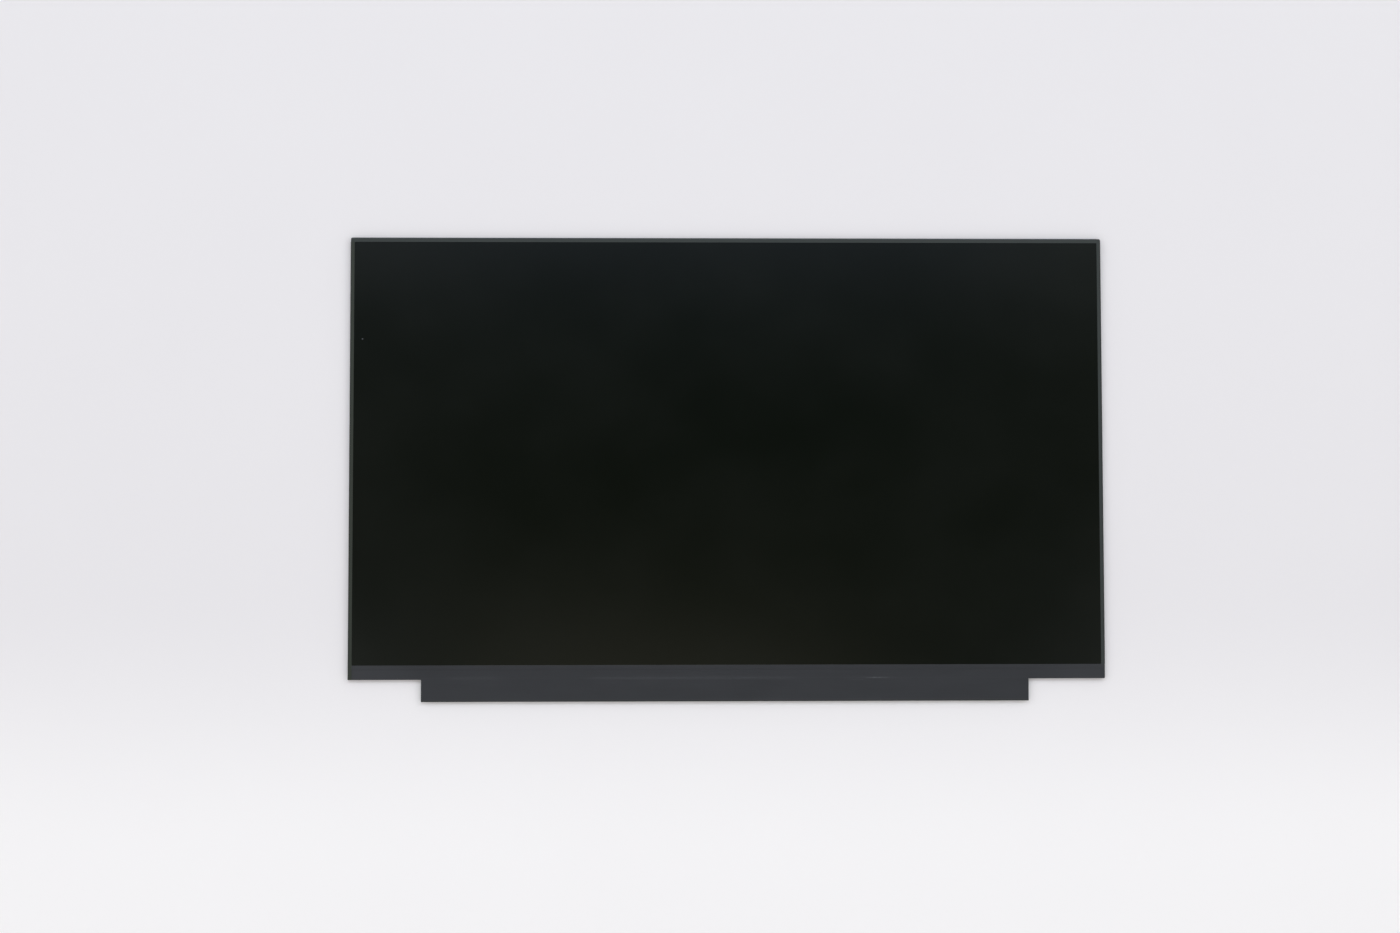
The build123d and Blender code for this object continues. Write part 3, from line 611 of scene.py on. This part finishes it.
platingLook = dict(  # plated and tinned metal
    metallic=1.0, wideSize=(1.7, 1.3, 1.7),
    shares=(0.5, 0.5),  # fine lines and clouds in the colour
    fineRough=0.16, wideRough=0.14, depth=0.003,
)

metalLooks = dict(
    goldFlash=dict(
        pieces=("socket_contacts",), grain=(0.05, 0.2, 0.05), roughness=0.27,
        dark=(0.78, 0.57, 0.24), pale=(0.87, 0.68, 0.34),
    ),
    shellTin=dict(
        pieces=("socket_shell",), grain=(2.5, 0.06, 0.06), roughness=0.30,
        dark=(0.60, 0.60, 0.59), pale=(0.72, 0.72, 0.71),
    ),
    solderTin=dict(
        pieces=(), grain=0.09, roughness=0.26,
        dark=(0.56, 0.56, 0.555), pale=(0.74, 0.74, 0.73),
    ),
)

metals = {}
for metalName, metalLook in metalLooks.items():
    metals[metalName] = finishGrained(metalName, platingLook | metalLook, platingLook["wideSize"])
print("back finished")

# Solder, lands and tracks on the rear of the board, placed on the boxes of the CAD solids

boardLow, boardHigh = [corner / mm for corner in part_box("control_board")]
boardRear = boardLow.z  # the components hang from this face, towards the floor
pointGrid = 1e6  # corners that agree to a micron are one corner
squareOn = 0.9  # a face looks along an axis where its normal is above this


def boxOf(points):  # lowest and highest corner
    low = Vector([min(p[i] for p in points) for i in range(3)])
    high = Vector([max(p[i] for p in points) for i in range(3)])
    return low, high


def leftFirst(points):
    low = boxOf(points)[0]
    return round(low.x, 2), low.y


def shells(name):  # corners of each separate solid of a node, in millimetres, from left to right
    mesh = nodes[name].data
    keys = [tuple(round(c * pointGrid) for c in v.co) for v in mesh.vertices]
    owner = {key: key for key in keys}

    def head(key):
        while owner[key] != key:
            owner[key] = owner[owner[key]]
            key = owner[key]
        return key

    for face in mesh.polygons:
        first = head(keys[face.vertices[0]])
        for corner in face.vertices[1:]:
            owner[head(keys[corner])] = first
    groups = {}
    for key in owner:
        groups.setdefault(head(key), []).append(Vector(key) / (pointGrid * mm))
    return sorted(groups.values(), key=leftFirst)


def capLength(name):  # how far in the end of a node's first solid reaches
    steps = sorted({round(p.x, 3) for p in shells(name)[0]})
    return steps[1] - steps[0]


def midX(box):
    return (box[0].x + box[1].x) / 2


def midY(box):
    return (box[0].y + box[1].y) / 2


boardParts = chips + ("socket_shell",) + coils
boardParts += ("diodes", "fuse", "large_capacitors", "small_capacitors", "resistors")
boxes = {}
for partName in boardParts + ("socket_contacts", "driver_films"):
    boxes[partName] = [boxOf(points) for points in shells(partName)]


def clearChoice():
    if bpy.context.object and bpy.context.object.mode != "OBJECT":
        bpy.ops.object.mode_set(mode="OBJECT")
    bpy.ops.object.select_all(action="DESELECT")


def pick(piece, kind, test):  # choose faces, edges or corners of the open mesh by a test
    mesh = bmesh.from_edit_mesh(piece.data)
    for part in (*mesh.verts, *mesh.edges, *mesh.faces):
        part.select = False
    for part in getattr(mesh, kind):
        if test(part):
            part.select_set(True)
    mesh.select_flush_mode()
    bmesh.update_edit_mesh(piece.data)


def openMesh():
    bpy.ops.object.mode_set(mode="EDIT")
    bpy.ops.mesh.select_mode(type="FACE")
    bpy.ops.mesh.select_all(action="SELECT")


def closeMesh(angle):
    bpy.ops.object.mode_set(mode="OBJECT")
    bpy.ops.object.shade_smooth_by_angle(angle=math.radians(angle))


def startBlock(middle, size):  # a block at its size and place, in millimetres
    clearChoice()
    spot = [m * mm for m in middle]
    bpy.ops.mesh.primitive_cube_add(size=1, location=spot, scale=[s * mm for s in size])
    bpy.ops.object.transform_apply(location=True, rotation=True, scale=True)
    return bpy.context.object


def gather(copies, name, material):  # join the copies as one piece
    clearChoice()
    for copy in copies:
        copy.select_set(True)
    bpy.context.view_layer.objects.active = copies[0]
    if len(copies) > 1:
        bpy.ops.object.join()
    piece = bpy.context.object
    piece.name = name
    piece.data.name = name
    piece.data.materials.clear()
    piece.data.materials.append(material)
    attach(piece, "root")


def spread(master, places, name, material):  # copies of a master at its places, as one piece
    copies = []
    for place in places:
        copy = master.copy()
        copy.data = master.data.copy()
        copy.data.transform(place)
        scene.collection.objects.link(copy)
        copies.append(copy)
    bpy.data.objects.remove(master)
    gather(copies, name, material)


def at(x, y, z, turn=0):
    return Matrix.Translation((x * mm, y * mm, z * mm)) @ Matrix.Rotation(math.radians(turn), 4, "Z")


def fanned(i, count, pitch):  # shift of one of several, even on both sides
    return (i - (count - 1) / 2) * pitch


jointLook = dict(
    waist=0.35,  # where the slope of a solder foot breaks, as a share of its length
    waistSink=0.58,  # how much lower it is there and at its toe, as shares of its rise
    toeSink=0.86, near=0.1,
    flat=0.004,  # edges that lie on the board stay sharp
    smooth=50,
)


def solderEnd(look, joint=jointLook):  # tinned end with a solder foot on its +X side
    length, width, height = look["length"], look["width"], look["height"]
    foot = look["foot"]
    rise = height * look["rise"]
    waist = joint["waist"]
    block = startBlock((-length / 2, 0, -height / 2), (length, width, height))
    openMesh()
    bpy.ops.mesh.bisect(plane_co=(0, 0, -rise * mm), plane_no=(0, 0, 1))
    pick(block, "faces", lambda f: f.normal.x > squareOn and f.calc_center_median().z > -rise * mm)
    for share in (waist, 1 - waist):
        bpy.ops.mesh.extrude_region_move(TRANSFORM_OT_translate={"value": (foot * share * mm, 0, 0)})
    near = foot * joint["near"] * mm
    for share, sink in ((1, joint["toeSink"]), (waist, joint["waistSink"])):
        x = foot * share * mm
        pick(block, "verts", lambda v: abs(v.co.x - x) < near and v.co.z < -rise / 2 * mm)
        bpy.ops.transform.translate(value=(0, 0, rise * sink * mm))
    pick(block, "edges", lambda e: all(v.co.z < -joint["flat"] * mm for v in e.verts))
    bpy.ops.mesh.bevel(offset=look["soft"] * mm, segments=2, affect="EDGES")
    closeMesh(joint["smooth"])
    return block


def solder(master, places, name):
    spread(master, places, name, metals["solderTin"])


def bothEnds(ends, skin=0.0):  # places at the right and left end of each box, facing outwards
    places = []
    for box in ends:
        places.append(at(box[1].x + skin, midY(box), boardRear))
        places.append(at(box[0].x - skin, midY(box), boardRear, 180))
    return places


endLook = dict(skin=0.012, foot=0.24, rise=0.6, soft=0.03)


def tinEnds(look):  # both ends of every capacitor, resistor and fuse
    skin = look["skin"]
    for name in ceramics:
        low, high = boxes[name][0]
        size = high - low
        own = dict(length=capLength(name) + skin, width=size.y + 2 * skin, height=size.z + skin)
        solder(solderEnd(look | own), bothEnds(boxes[name], skin), "ends_" + name)


tinEnds(endLook)

landLook = dict(
    pitch=0.5, margin=0.55, skin=0.014,
    length=0.1, width=0.26, height=0.2, foot=0.26, rise=0.7, soft=0.02,
)


def landRows(box, look, sides):  # places along the sides of a chip
    places = []
    low, high = box
    skin = look["skin"]
    for turn in sides:
        upright = turn in (0, 180)
        run = (high.y - low.y if upright else high.x - low.x) - 2 * look["margin"]
        count = int(run / look["pitch"]) + 1
        for i in range(count):
            shift = fanned(i, count, look["pitch"])
            spot = {
                0: (high.x + skin, midY(box) + shift),
                90: (midX(box) + shift, high.y + skin),
                180: (low.x - skin, midY(box) + shift),
                270: (midX(box) + shift, low.y - skin),
            }[turn]
            places.append(at(*spot, boardRear, turn))
    return places


def solderChips(look):
    places = []
    for name in chips:
        sides = (90, 270) if name == "memory_chip" else (0, 90, 180, 270)
        places += landRows(boxes[name][0], look, sides)
    solder(solderEnd(look), places, "chipLands")


solderChips(landLook)

coilLook = dict(share=0.62, skin=0.02, length=0.3, height=0.42, foot=0.42, rise=0.8, soft=0.04)
leadLook = dict(reach=0.7, width=1.0, height=0.22, foot=0.3, rise=0.9, soft=0.03)
contactLook = dict(length=0.34, width=0.30, height=0.15, foot=0.34, rise=0.9, soft=0.025)
shellLook = dict(inset=0.3, length=0.7, height=0.14, foot=0.4, rise=0.9, soft=0.03)


def solderCoils(look):
    for name in coils:
        low, high = boxes[name][0]
        own = dict(width=(high.y - low.y) * look["share"])
        solder(solderEnd(look | own), bothEnds(boxes[name], look["skin"]), "ends_" + name)


def solderDiodes(look):
    own = dict(length=capLength("diodes") * look["reach"])
    solder(solderEnd(look | own), bothEnds(boxes["diodes"]), "ends_diodes")


def solderSocket(look, shell):
    places = [at(midX(box), box[1].y, boardRear, 90) for box in boxes["socket_contacts"]]
    solder(solderEnd(look), places, "contactSolder")
    low, high = boxes["socket_shell"][0]
    own = dict(width=high.y - low.y - 2 * shell["inset"])
    solder(solderEnd(shell | own), bothEnds(boxes["socket_shell"][:1]), "shellSolder")


solderCoils(coilLook)
solderDiodes(leadLook)
solderSocket(contactLook, shellLook)

tailLook = dict(
    count=8, margin=0.9, proud=0.05,
    below=2.0,  # the tail is what reaches lower than this under the body's edge
    width=0.62, length=0.9, foot=0.6, rise=0.95, soft=0.05,
)


def solderTail(look):  # joints between the flex strip's tail and the board
    points = [v.co / mm for v in nodes["led_flex"].data.vertices]
    tail = [p for p in points if p.y < panelBottom - look["below"]]
    left = min(p.x for p in tail) + look["margin"]
    right = max(p.x for p in tail) - look["margin"]
    endY = min(p.y for p in tail)
    own = dict(height=boardRear - min(p.z for p in tail) + look["proud"])
    step = (right - left) / (look["count"] - 1)
    pads = [left + i * step for i in range(look["count"])]
    solder(solderEnd(look | own), [at(x, endY, boardRear, 270) for x in pads], "tailSolder")
    return pads, endY - look["foot"]


tailPads, tailPadY = solderTail(tailLook)
print("solder in place")

# Tracks under the solder mask, vias, test lands and printed marks

boardTop = boardHigh.y
filmMiddles = [midX(box) for box in boxes["driver_films"]]
contacts = boxes["socket_contacts"]
timing = boxes["timing_chip"][0]
power = boxes["power_chip"][0]
buffer = boxes["buffer_chip"][0]
lightDriver = boxes["light_driver_chip"][0]

trackLook = dict(
    fine=0.10, wide=0.42, rise=0.02, pieces=(),
    dark=(0.030, 0.180, 0.076), pale=(0.052, 0.240, 0.110), size=2.5, detail=3.0,
    depth=0.004, roughness=0.30, grainRough=0.12,
)


def elbow(start, end):  # straight first, then a slant of 45 degrees
    acrossX = end[0] - start[0]
    acrossY = end[1] - start[1]
    if abs(acrossX) > abs(acrossY):
        return [start, (end[0] - math.copysign(abs(acrossY), acrossX), start[1]), end]
    return [start, (start[0], end[1] - math.copysign(abs(acrossX), acrossY)), end]


def layTracks(name, routes, width, rise, material):
    clearChoice()
    line = bpy.data.curves.new(name, "CURVE")
    line.dimensions = "3D"
    line.twist_mode = "Z_UP"
    line.bevel_depth = width / 2 * mm
    line.bevel_resolution = 0
    line.use_fill_caps = True
    for route in routes:
        spline = line.splines.new("POLY")
        spline.points.add(len(route) - 1)
        for point, (x, y) in zip(spline.points, route):
            point.co = (x * mm, y * mm, 0, 1)
    piece = bpy.data.objects.new(name, line)
    scene.collection.objects.link(piece)
    piece.select_set(True)
    bpy.context.view_layer.objects.active = piece
    bpy.ops.object.convert(target="MESH")
    piece = bpy.context.object
    flat = Matrix.Diagonal((1, 1, rise / (width / 2), 1))
    piece.data.transform(Matrix.Translation((0, 0, boardRear * mm)) @ flat)
    gather([piece], name, material)


trackMask = finishSheet("trackMask", trackLook)  # solder mask over copper: the same green, lighter

pairLook = dict(
    count=8, last=27, step=2,  # every second contact, from the last one back
    start=0.2, up=2.2, pitch=0.16, bend=0.3, lead=0.9, landGap=0.3, landPitch=0.5,
)
busLook = dict(
    count=5, top=0.55, pitch=0.16, past=9.0, stagger=0.5, start=0.2, dropPitch=0.5,
    partUp=3.0, partOut=0.1, partIn=0.25,  # capacitors beside the driver films
)
referenceLook = dict(
    count=6, pitch=0.36, up=3.0, start=0.2, inset=0.9, startPitch=0.4, bend=0.3, past=4.0, gap=0.35,
)
stringLook = dict(down=2.0, pitch=0.15, start=0.1, bend=0.3, inset=0.5, endPitch=0.28, gap=0.2)
supplyLook = dict(
    gap=0.1, shift=0.7, diodeShift=0.28,
    lowUp=1.35, fuseOut=0.2, fuseDown=2.6, diodeUp=4.5, diodeIn=2.2,  # detour below the chips
    socketOut=2.2, outputRun=3.4,
)


def pairRoutes(look):  # from the cable socket to the timing chip
    routes = []
    chipX = timing[0].x - look["landGap"]
    for i in range(look["count"]):
        contact = contacts[look["last"] - look["step"] * i]
        x = midX(contact)
        runY = midY(timing) + look["up"] + look["pitch"] * i
        landY = midY(timing) + fanned(i, look["count"], look["landPitch"])
        up = [(x, contact[1].y + look["start"]), (x, runY - look["bend"]), (x + look["bend"], runY)]
        slant = elbow((x + look["lead"], runY), (chipX - look["bend"], landY))
        routes.append(up + slant + [(chipX, landY)])
    return routes


def busHeights(look):
    return [boardTop - look["top"] - look["pitch"] * k for k in range(look["count"])]


def busRoutes(look):  # along the driver films, with drops to the timing chip and the capacitors
    routes = []
    heights = busHeights(look)
    for k, y in enumerate(heights):
        past = look["past"] - k * look["stagger"]
        routes.append([(filmMiddles[0] - past, y), (filmMiddles[-1] + past, y)])
        x = midX(timing) + fanned(k, look["count"], look["dropPitch"])
        routes.append([(x, timing[1].y + look["start"]), (x, y)])
    for low, high in boxes["small_capacitors"]:
        if low.y > midY(timing) + look["partUp"]:
            for x in (low.x - look["partOut"], high.x + look["partOut"]):
                routes.append([(x, high.y - look["partIn"]), (x, heights[-1])])
    return routes


def referenceRoutes(look):  # from the power chip to the buffer chip
    routes = []
    for i in range(look["count"]):
        endY = midY(timing) + fanned(i, look["count"], look["pitch"])
        x = power[0].x + look["inset"] + look["startPitch"] * i
        y = endY + look["up"]
        up = [(x, power[1].y + look["start"]), (x, y - look["bend"]), (x + look["bend"], y)]
        routes.append(up + elbow((power[1].x + look["past"], y), (buffer[0].x - look["gap"], endY)))
    return routes


def stringRoutes(look):  # light strings from the flex strip's tail to their driver chip
    routes = []
    bend = look["bend"]
    for i, x in enumerate(tailPads):
        runY = midY(timing) - look["down"] - look["pitch"] * (len(tailPads) - 1 - i)
        endX = lightDriver[0].x + look["inset"] + look["endPitch"] * i
        down = [(x, tailPadY + look["start"]), (x, runY + bend), (x - bend, runY)]
        up = [(endX + bend, runY), (endX, runY + bend), (endX, lightDriver[0].y - look["gap"])]
        routes.append(down + up)
    return routes


def supplyRoutes(look):  # wide tracks from the socket through fuse, diodes and coils
    gap = look["gap"]
    rowY = midY(power)
    lowY = boardLow.y + look["lowUp"]
    fuse = boxes["fuse"][0]
    diode, boostDiode = boxes["diodes"][:2]
    firstCoil, secondCoil = boxes["power_coils"][:2]
    boost = boxes["boost_coil"][0]

    def link(left, right, y):
        return [(left[1].x + gap, y), (right[0].x - gap, y)]

    down = elbow((fuse[1].x + look["fuseOut"], rowY), (fuse[1].x + look["fuseDown"], lowY))
    up = elbow((diode[0].x - look["diodeUp"], lowY), (diode[0].x - look["diodeIn"], rowY))
    routes = [down + up[1:] + [(diode[0].x - gap, rowY)]]
    routes.append([(contacts[-1][1].x + look["socketOut"], rowY), (fuse[0].x - gap, rowY)])
    for side in (-1, 1):
        routes.append(link(firstCoil, power, rowY + side * look["shift"]))
        routes.append(link(power, secondCoil, rowY + side * look["shift"]))
        routes.append(link(diode, firstCoil, rowY + side * look["diodeShift"]))
    routes.append(link(boost, lightDriver, rowY))
    routes.append(link(lightDriver, boostDiode, rowY))
    routes.append([(boostDiode[1].x + gap, rowY), (boostDiode[1].x + look["outputRun"], rowY)])
    return routes


fineRoutes = pairRoutes(pairLook) + busRoutes(busLook)
fineRoutes += referenceRoutes(referenceLook) + stringRoutes(stringLook)
layTracks("fineTracks", fineRoutes, trackLook["fine"], trackLook["rise"], trackMask)
layTracks("wideTracks", supplyRoutes(supplyLook), trackLook["wide"], trackLook["rise"], trackMask)


def startDisc(look):  # low disc on the board's rear face, facing away from it
    clearChoice()
    spot = (0, 0, -look["rise"] / 2 * mm)
    radius = look["radius"] * mm
    bpy.ops.mesh.primitive_cylinder_add(
        vertices=look["sides"], radius=radius, depth=look["rise"] * mm, location=spot)
    bpy.ops.object.transform_apply(location=True)
    return bpy.context.object


def dimpledDisc(look):  # the same with a sunk middle
    disc = startDisc(look)
    openMesh()
    pick(disc, "faces", lambda f: f.normal.z < -squareOn)
    bpy.ops.mesh.inset(thickness=look["wall"] * mm, depth=0)
    bpy.ops.transform.translate(value=(0, 0, look["rise"] * look["sink"] * mm))
    closeMesh(look["smooth"])
    return disc


def clearOf(x, y, gap):  # no component stands within the gap
    for low, high in componentBoxes:
        if low.x - gap <= x <= high.x + gap and low.y - gap <= y <= high.y + gap:
            return False
    return True


componentBoxes = [box for name in boardParts for box in boxes[name]]

viaLook = dict(
    radius=0.2, wall=0.1, rise=0.022, sink=0.8, sides=12, smooth=40,
    busFrom=5.0, busStep=0.7,  # right of each driver film's middle
    stitchPitch=6.3, stitchUp=1.75, stitchLeft=3.0, stitchRight=2.0,
    seed=11, perPart=2, aroundX=1.6, aroundY=0.9, gap=0.5, bottomGap=1.4, topGap=0.3,
)


def placeVias(look):
    spots = []
    for middle in filmMiddles:
        for k, y in enumerate(busHeights(busLook)):
            spots.append((middle + look["busFrom"] + look["busStep"] * k, y))
    x = boardLow.x + look["stitchLeft"]
    while x < boardHigh.x - look["stitchRight"]:  # stitching along the lower edge
        spots.append((x, boardLow.y + look["stitchUp"]))
        x += look["stitchPitch"]
    random.seed(look["seed"])
    for low, high in componentBoxes:
        for turn in range(look["perPart"]):
            x = random.uniform(low.x - look["aroundX"], high.x + look["aroundX"])
            y = random.uniform(low.y - look["aroundY"], high.y + look["aroundY"])
            spots.append((x, y))
    places = []
    for x, y in spots:
        onBoard = boardLow.y + look["bottomGap"] < y < boardTop - look["topGap"]
        if onBoard and clearOf(x, y, look["gap"]):
            places.append(at(x, y, boardRear))
    spread(dimpledDisc(look), places, "boardVias", trackMask)


placeVias(viaLook)

landDotLook = dict(
    radius=0.5, rise=0.03, sides=24, soft=0.8, smooth=40, gap=0.8,
    rows=(  # first place, pitch, count, and how far up the lands stand in turn
        (31, 3.0, 13, (-1.1, 0.9)),
        (112, 2.6, 6, (-0.9,)),
        (-131, 2.4, 4, (0.6,)),
        (-32, 2.4, 5, (1.2,)),
    ),
)


def placeTestLands(look):
    disc = startDisc(look)
    openMesh()
    pick(disc, "edges", lambda e: all(v.co.z < -look["rise"] / 2 * mm for v in e.verts))
    bpy.ops.mesh.bevel(offset=look["rise"] * look["soft"] * mm, segments=2, affect="EDGES")
    closeMesh(look["smooth"])
    places = []
    for first, pitch, count, ups in look["rows"]:
        for i in range(count):
            x = first + pitch * i
            y = midY(power) + ups[i % len(ups)]
            if clearOf(x, y, look["gap"]):
                places.append(at(x, y, boardRear))
    spread(disc, places, "testLands", metals["goldFlash"])


placeTestLands(landDotLook)

inkLook = dict(
    width=0.14, leg=0.8, rise=0.014, gap=0.55, smooth=30, worn=(0.46, 0.52, 0.46),
    white=(0.72, 0.73, 0.70), specular=0.3, wornSize=0.12, wornEdge=(0.35, 0.6),
    depth=0.004, roughness=0.62, whiteShine=0.1,
)


def finishInk(look):  # white printed marks, a little worn
    ink, place = startFinish("boardInk", look)
    kept = ease(speckle(place, look["wornSize"], detail=3.0), *look["wornEdge"])
    colour = tint(kept, look["worn"], look["white"])
    change = kept * -look["whiteShine"]
    setFinish(ink, look, colour, change, kept)
    return ink


def printMarks(look):  # corner marks round the chips and coils
    width = look["width"]
    leg = look["leg"]
    gap = look["gap"]
    mark = startBlock((leg / 2, width / 2, -look["rise"] / 2), (leg, width, look["rise"]))
    openMesh()
    bpy.ops.mesh.bisect(plane_co=(width * mm, 0, 0), plane_no=(1, 0, 0))
    pick(mark, "faces", lambda f: f.normal.y > squareOn and f.calc_center_median().x < width * mm)
    bpy.ops.mesh.extrude_region_move(TRANSFORM_OT_translate={"value": (0, (leg - width) * mm, 0)})
    closeMesh(look["smooth"])
    places = []
    for name in chips + coils:
        for low, high in boxes[name]:
            places.append(at(low.x - gap, low.y - gap, boardRear, 0))
            places.append(at(high.x + gap, low.y - gap, boardRear, 90))
            places.append(at(high.x + gap, high.y + gap, boardRear, 180))
            places.append(at(low.x - gap, high.y + gap, boardRear, 270))
    spread(mark, places, "printedMarks", finishInk(look))


printMarks(inkLook)

dotLook = dict(
    radius=0.2, wall=0.06, rise=0.01, sink=0.7, sides=20, smooth=40, inset=0.55,
    finish=dict(
        pieces=(), grain=0.05, roughness=0.35,
        dark=(0.075, 0.075, 0.078), pale=(0.11, 0.11, 0.115),
    ),
)


def markFirstPins(look):  # shallow round mark in one corner of each chip
    disc = dimpledDisc(look)
    places = []
    for name in chips:
        low, high = boxes[name][0]
        places.append(at(low.x + look["inset"], high.y - look["inset"], low.z))
    grey = finishMoulding("pinMark", look["finish"])
    spread(disc, places, "firstPinMarks", grey)


markFirstPins(dotLook)
print("board details in place")

# Inside: sheets of the backlight and the cell

filmLook = dict(
    base=(0.40, 0.20, 0.055), copper=(0.30, 0.105, 0.035), pitch=0.16,
    lineEdge=0.24, lineLeast=0.8, depth=0.006, cloudSize=4, roughness=0.28, cloudRough=0.14,
)


def finishDriverFilms(look):  # amber film with fine copper lines from the glass to the board
    film, place = startFinish("driverFilm", look)
    lines = abs(cell(along(place, "X"), look["pitch"])) > look["lineEdge"]
    cloud = speckle(place, look["cloudSize"], detail=3.0)
    copper = lines * (look["lineLeast"] + cloud * (1 - look["lineLeast"]))
    colour = tint(copper, look["base"], look["copper"])
    change = cloud * look["cloudRough"]
    setFinish(film, look, colour, change, lines, "driver_films")


finishDriverFilms(filmLook)

flexLook = dict(
    coat=(0.74, 0.74, 0.71), under=(0.62, 0.58, 0.50), specular=0.4, pitch=0.9,
    track=(0.25, 0.75, 0.05),  # from, to and softness, as shares of the pitch
    cloudSize=2.2,
    shares=(0.5, 0.3),  # tracks and clouds in the colour
    bumpShares=(1.0, 0.2), depth=0.012, roughness=0.42, cloudRough=0.12,
)


def finishLedFlex(look):  # white coated strip, its tracks showing faintly
    film, place = startFinish("ledFlexFilm", look)
    tracks = band((along(place, "X") / look["pitch"]) % 1.0, *look["track"])
    cloud = speckle(place, look["cloudSize"], detail=3.0)
    colour = tint(weigh(look["shares"], tracks, cloud), look["coat"], look["under"])
    change = cloud * look["cloudRough"]
    setFinish(film, look, colour, change, weigh(look["bumpShares"], tracks, cloud), "led_flex")


finishLedFlex(flexLook)

plainSheetLook = dict(detail=2.0, grainRough=0.1, depth=0.003)

sheetLooks = dict(
    reflectorFilm=dict(
        pieces=("reflector_sheet",), size=0.15, roughness=0.45,
        dark=(0.82, 0.82, 0.82), pale=(0.9, 0.9, 0.9),
    ),
    diffuserFilm=dict(
        pieces=("lower_diffuser", "upper_diffuser"), size=0.06, roughness=0.5,
        dark=(0.78, 0.78, 0.79), pale=(0.86, 0.86, 0.87),
    ),
    prismFilm=dict(
        pieces=("lower_prism_sheet", "upper_prism_sheet"), size=(40, 0.05, 1), roughness=0.22,
        dark=(0.70, 0.72, 0.74), pale=(0.80, 0.82, 0.84),
    ),
    rearPolarizerFilm=dict(
        pieces=("rear_polarizer",), size=(30, 0.2, 1), roughness=0.2,
        dark=(0.07, 0.07, 0.075), pale=(0.10, 0.10, 0.105),
    ),
    cellGlass=dict(
        pieces=("array_glass", "filter_glass"), size=14, roughness=0.08,
        dark=(0.030, 0.036, 0.035), pale=(0.045, 0.052, 0.050),
    ),
)

for sheetName, sheetLook in sheetLooks.items():
    finishSheet(sheetName, plainSheetLook | sheetLook)

guideLook = dict(
    clear=(0.72, 0.75, 0.76), dot=(0.88, 0.89, 0.89), pitch=0.6,
    dotSize=0.17, dotCore=0.8, depth=0.01, roughness=0.08, dotRough=0.4,
)


def finishGuide(look):  # clear acrylic with a printed field of dots
    acrylic, place = startFinish("guideAcrylic", look)
    x = cell(along(place, "X"), look["pitch"])
    y = cell(along(place, "Y"), look["pitch"])
    dots = 1 - ease(apart(x, y) * look["pitch"], look["dotSize"] * look["dotCore"], look["dotSize"])
    colour = tint(dots, look["clear"], look["dot"])
    change = dots * look["dotRough"]
    setFinish(acrylic, look, colour, change, dots, "light_guide")


finishGuide(guideLook)

ledLook = dict(
    body=(0.80, 0.79, 0.76), phosphor=(0.78, 0.60, 0.08), specular=0.4,
    windowIn=0.07,  # how far the windows lie behind the front
    facing=0.5, phosphorLeast=0.9, grainSize=0.08, depth=0.004, roughness=0.45, grainRough=0.1,
)


def finishLeds(look):  # white moulding, yellow in the windows that face the light guide
    body, place = startFinish("ledBody", look)
    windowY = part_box("leds")[1].y / mm - look["windowIn"]
    inside = (along(place, "Y") < windowY) * (along(facing(place), "Y") > look["facing"])
    grain = speckle(place, look["grainSize"])
    yellow = inside * (look["phosphorLeast"] + grain * (1 - look["phosphorLeast"]))
    colour = tint(yellow, look["body"], look["phosphor"])
    change = swing(grain, look["grainRough"])
    setFinish(body, look, colour, change, grain, "leds")


finishLeds(ledLook)
print("inside finished")
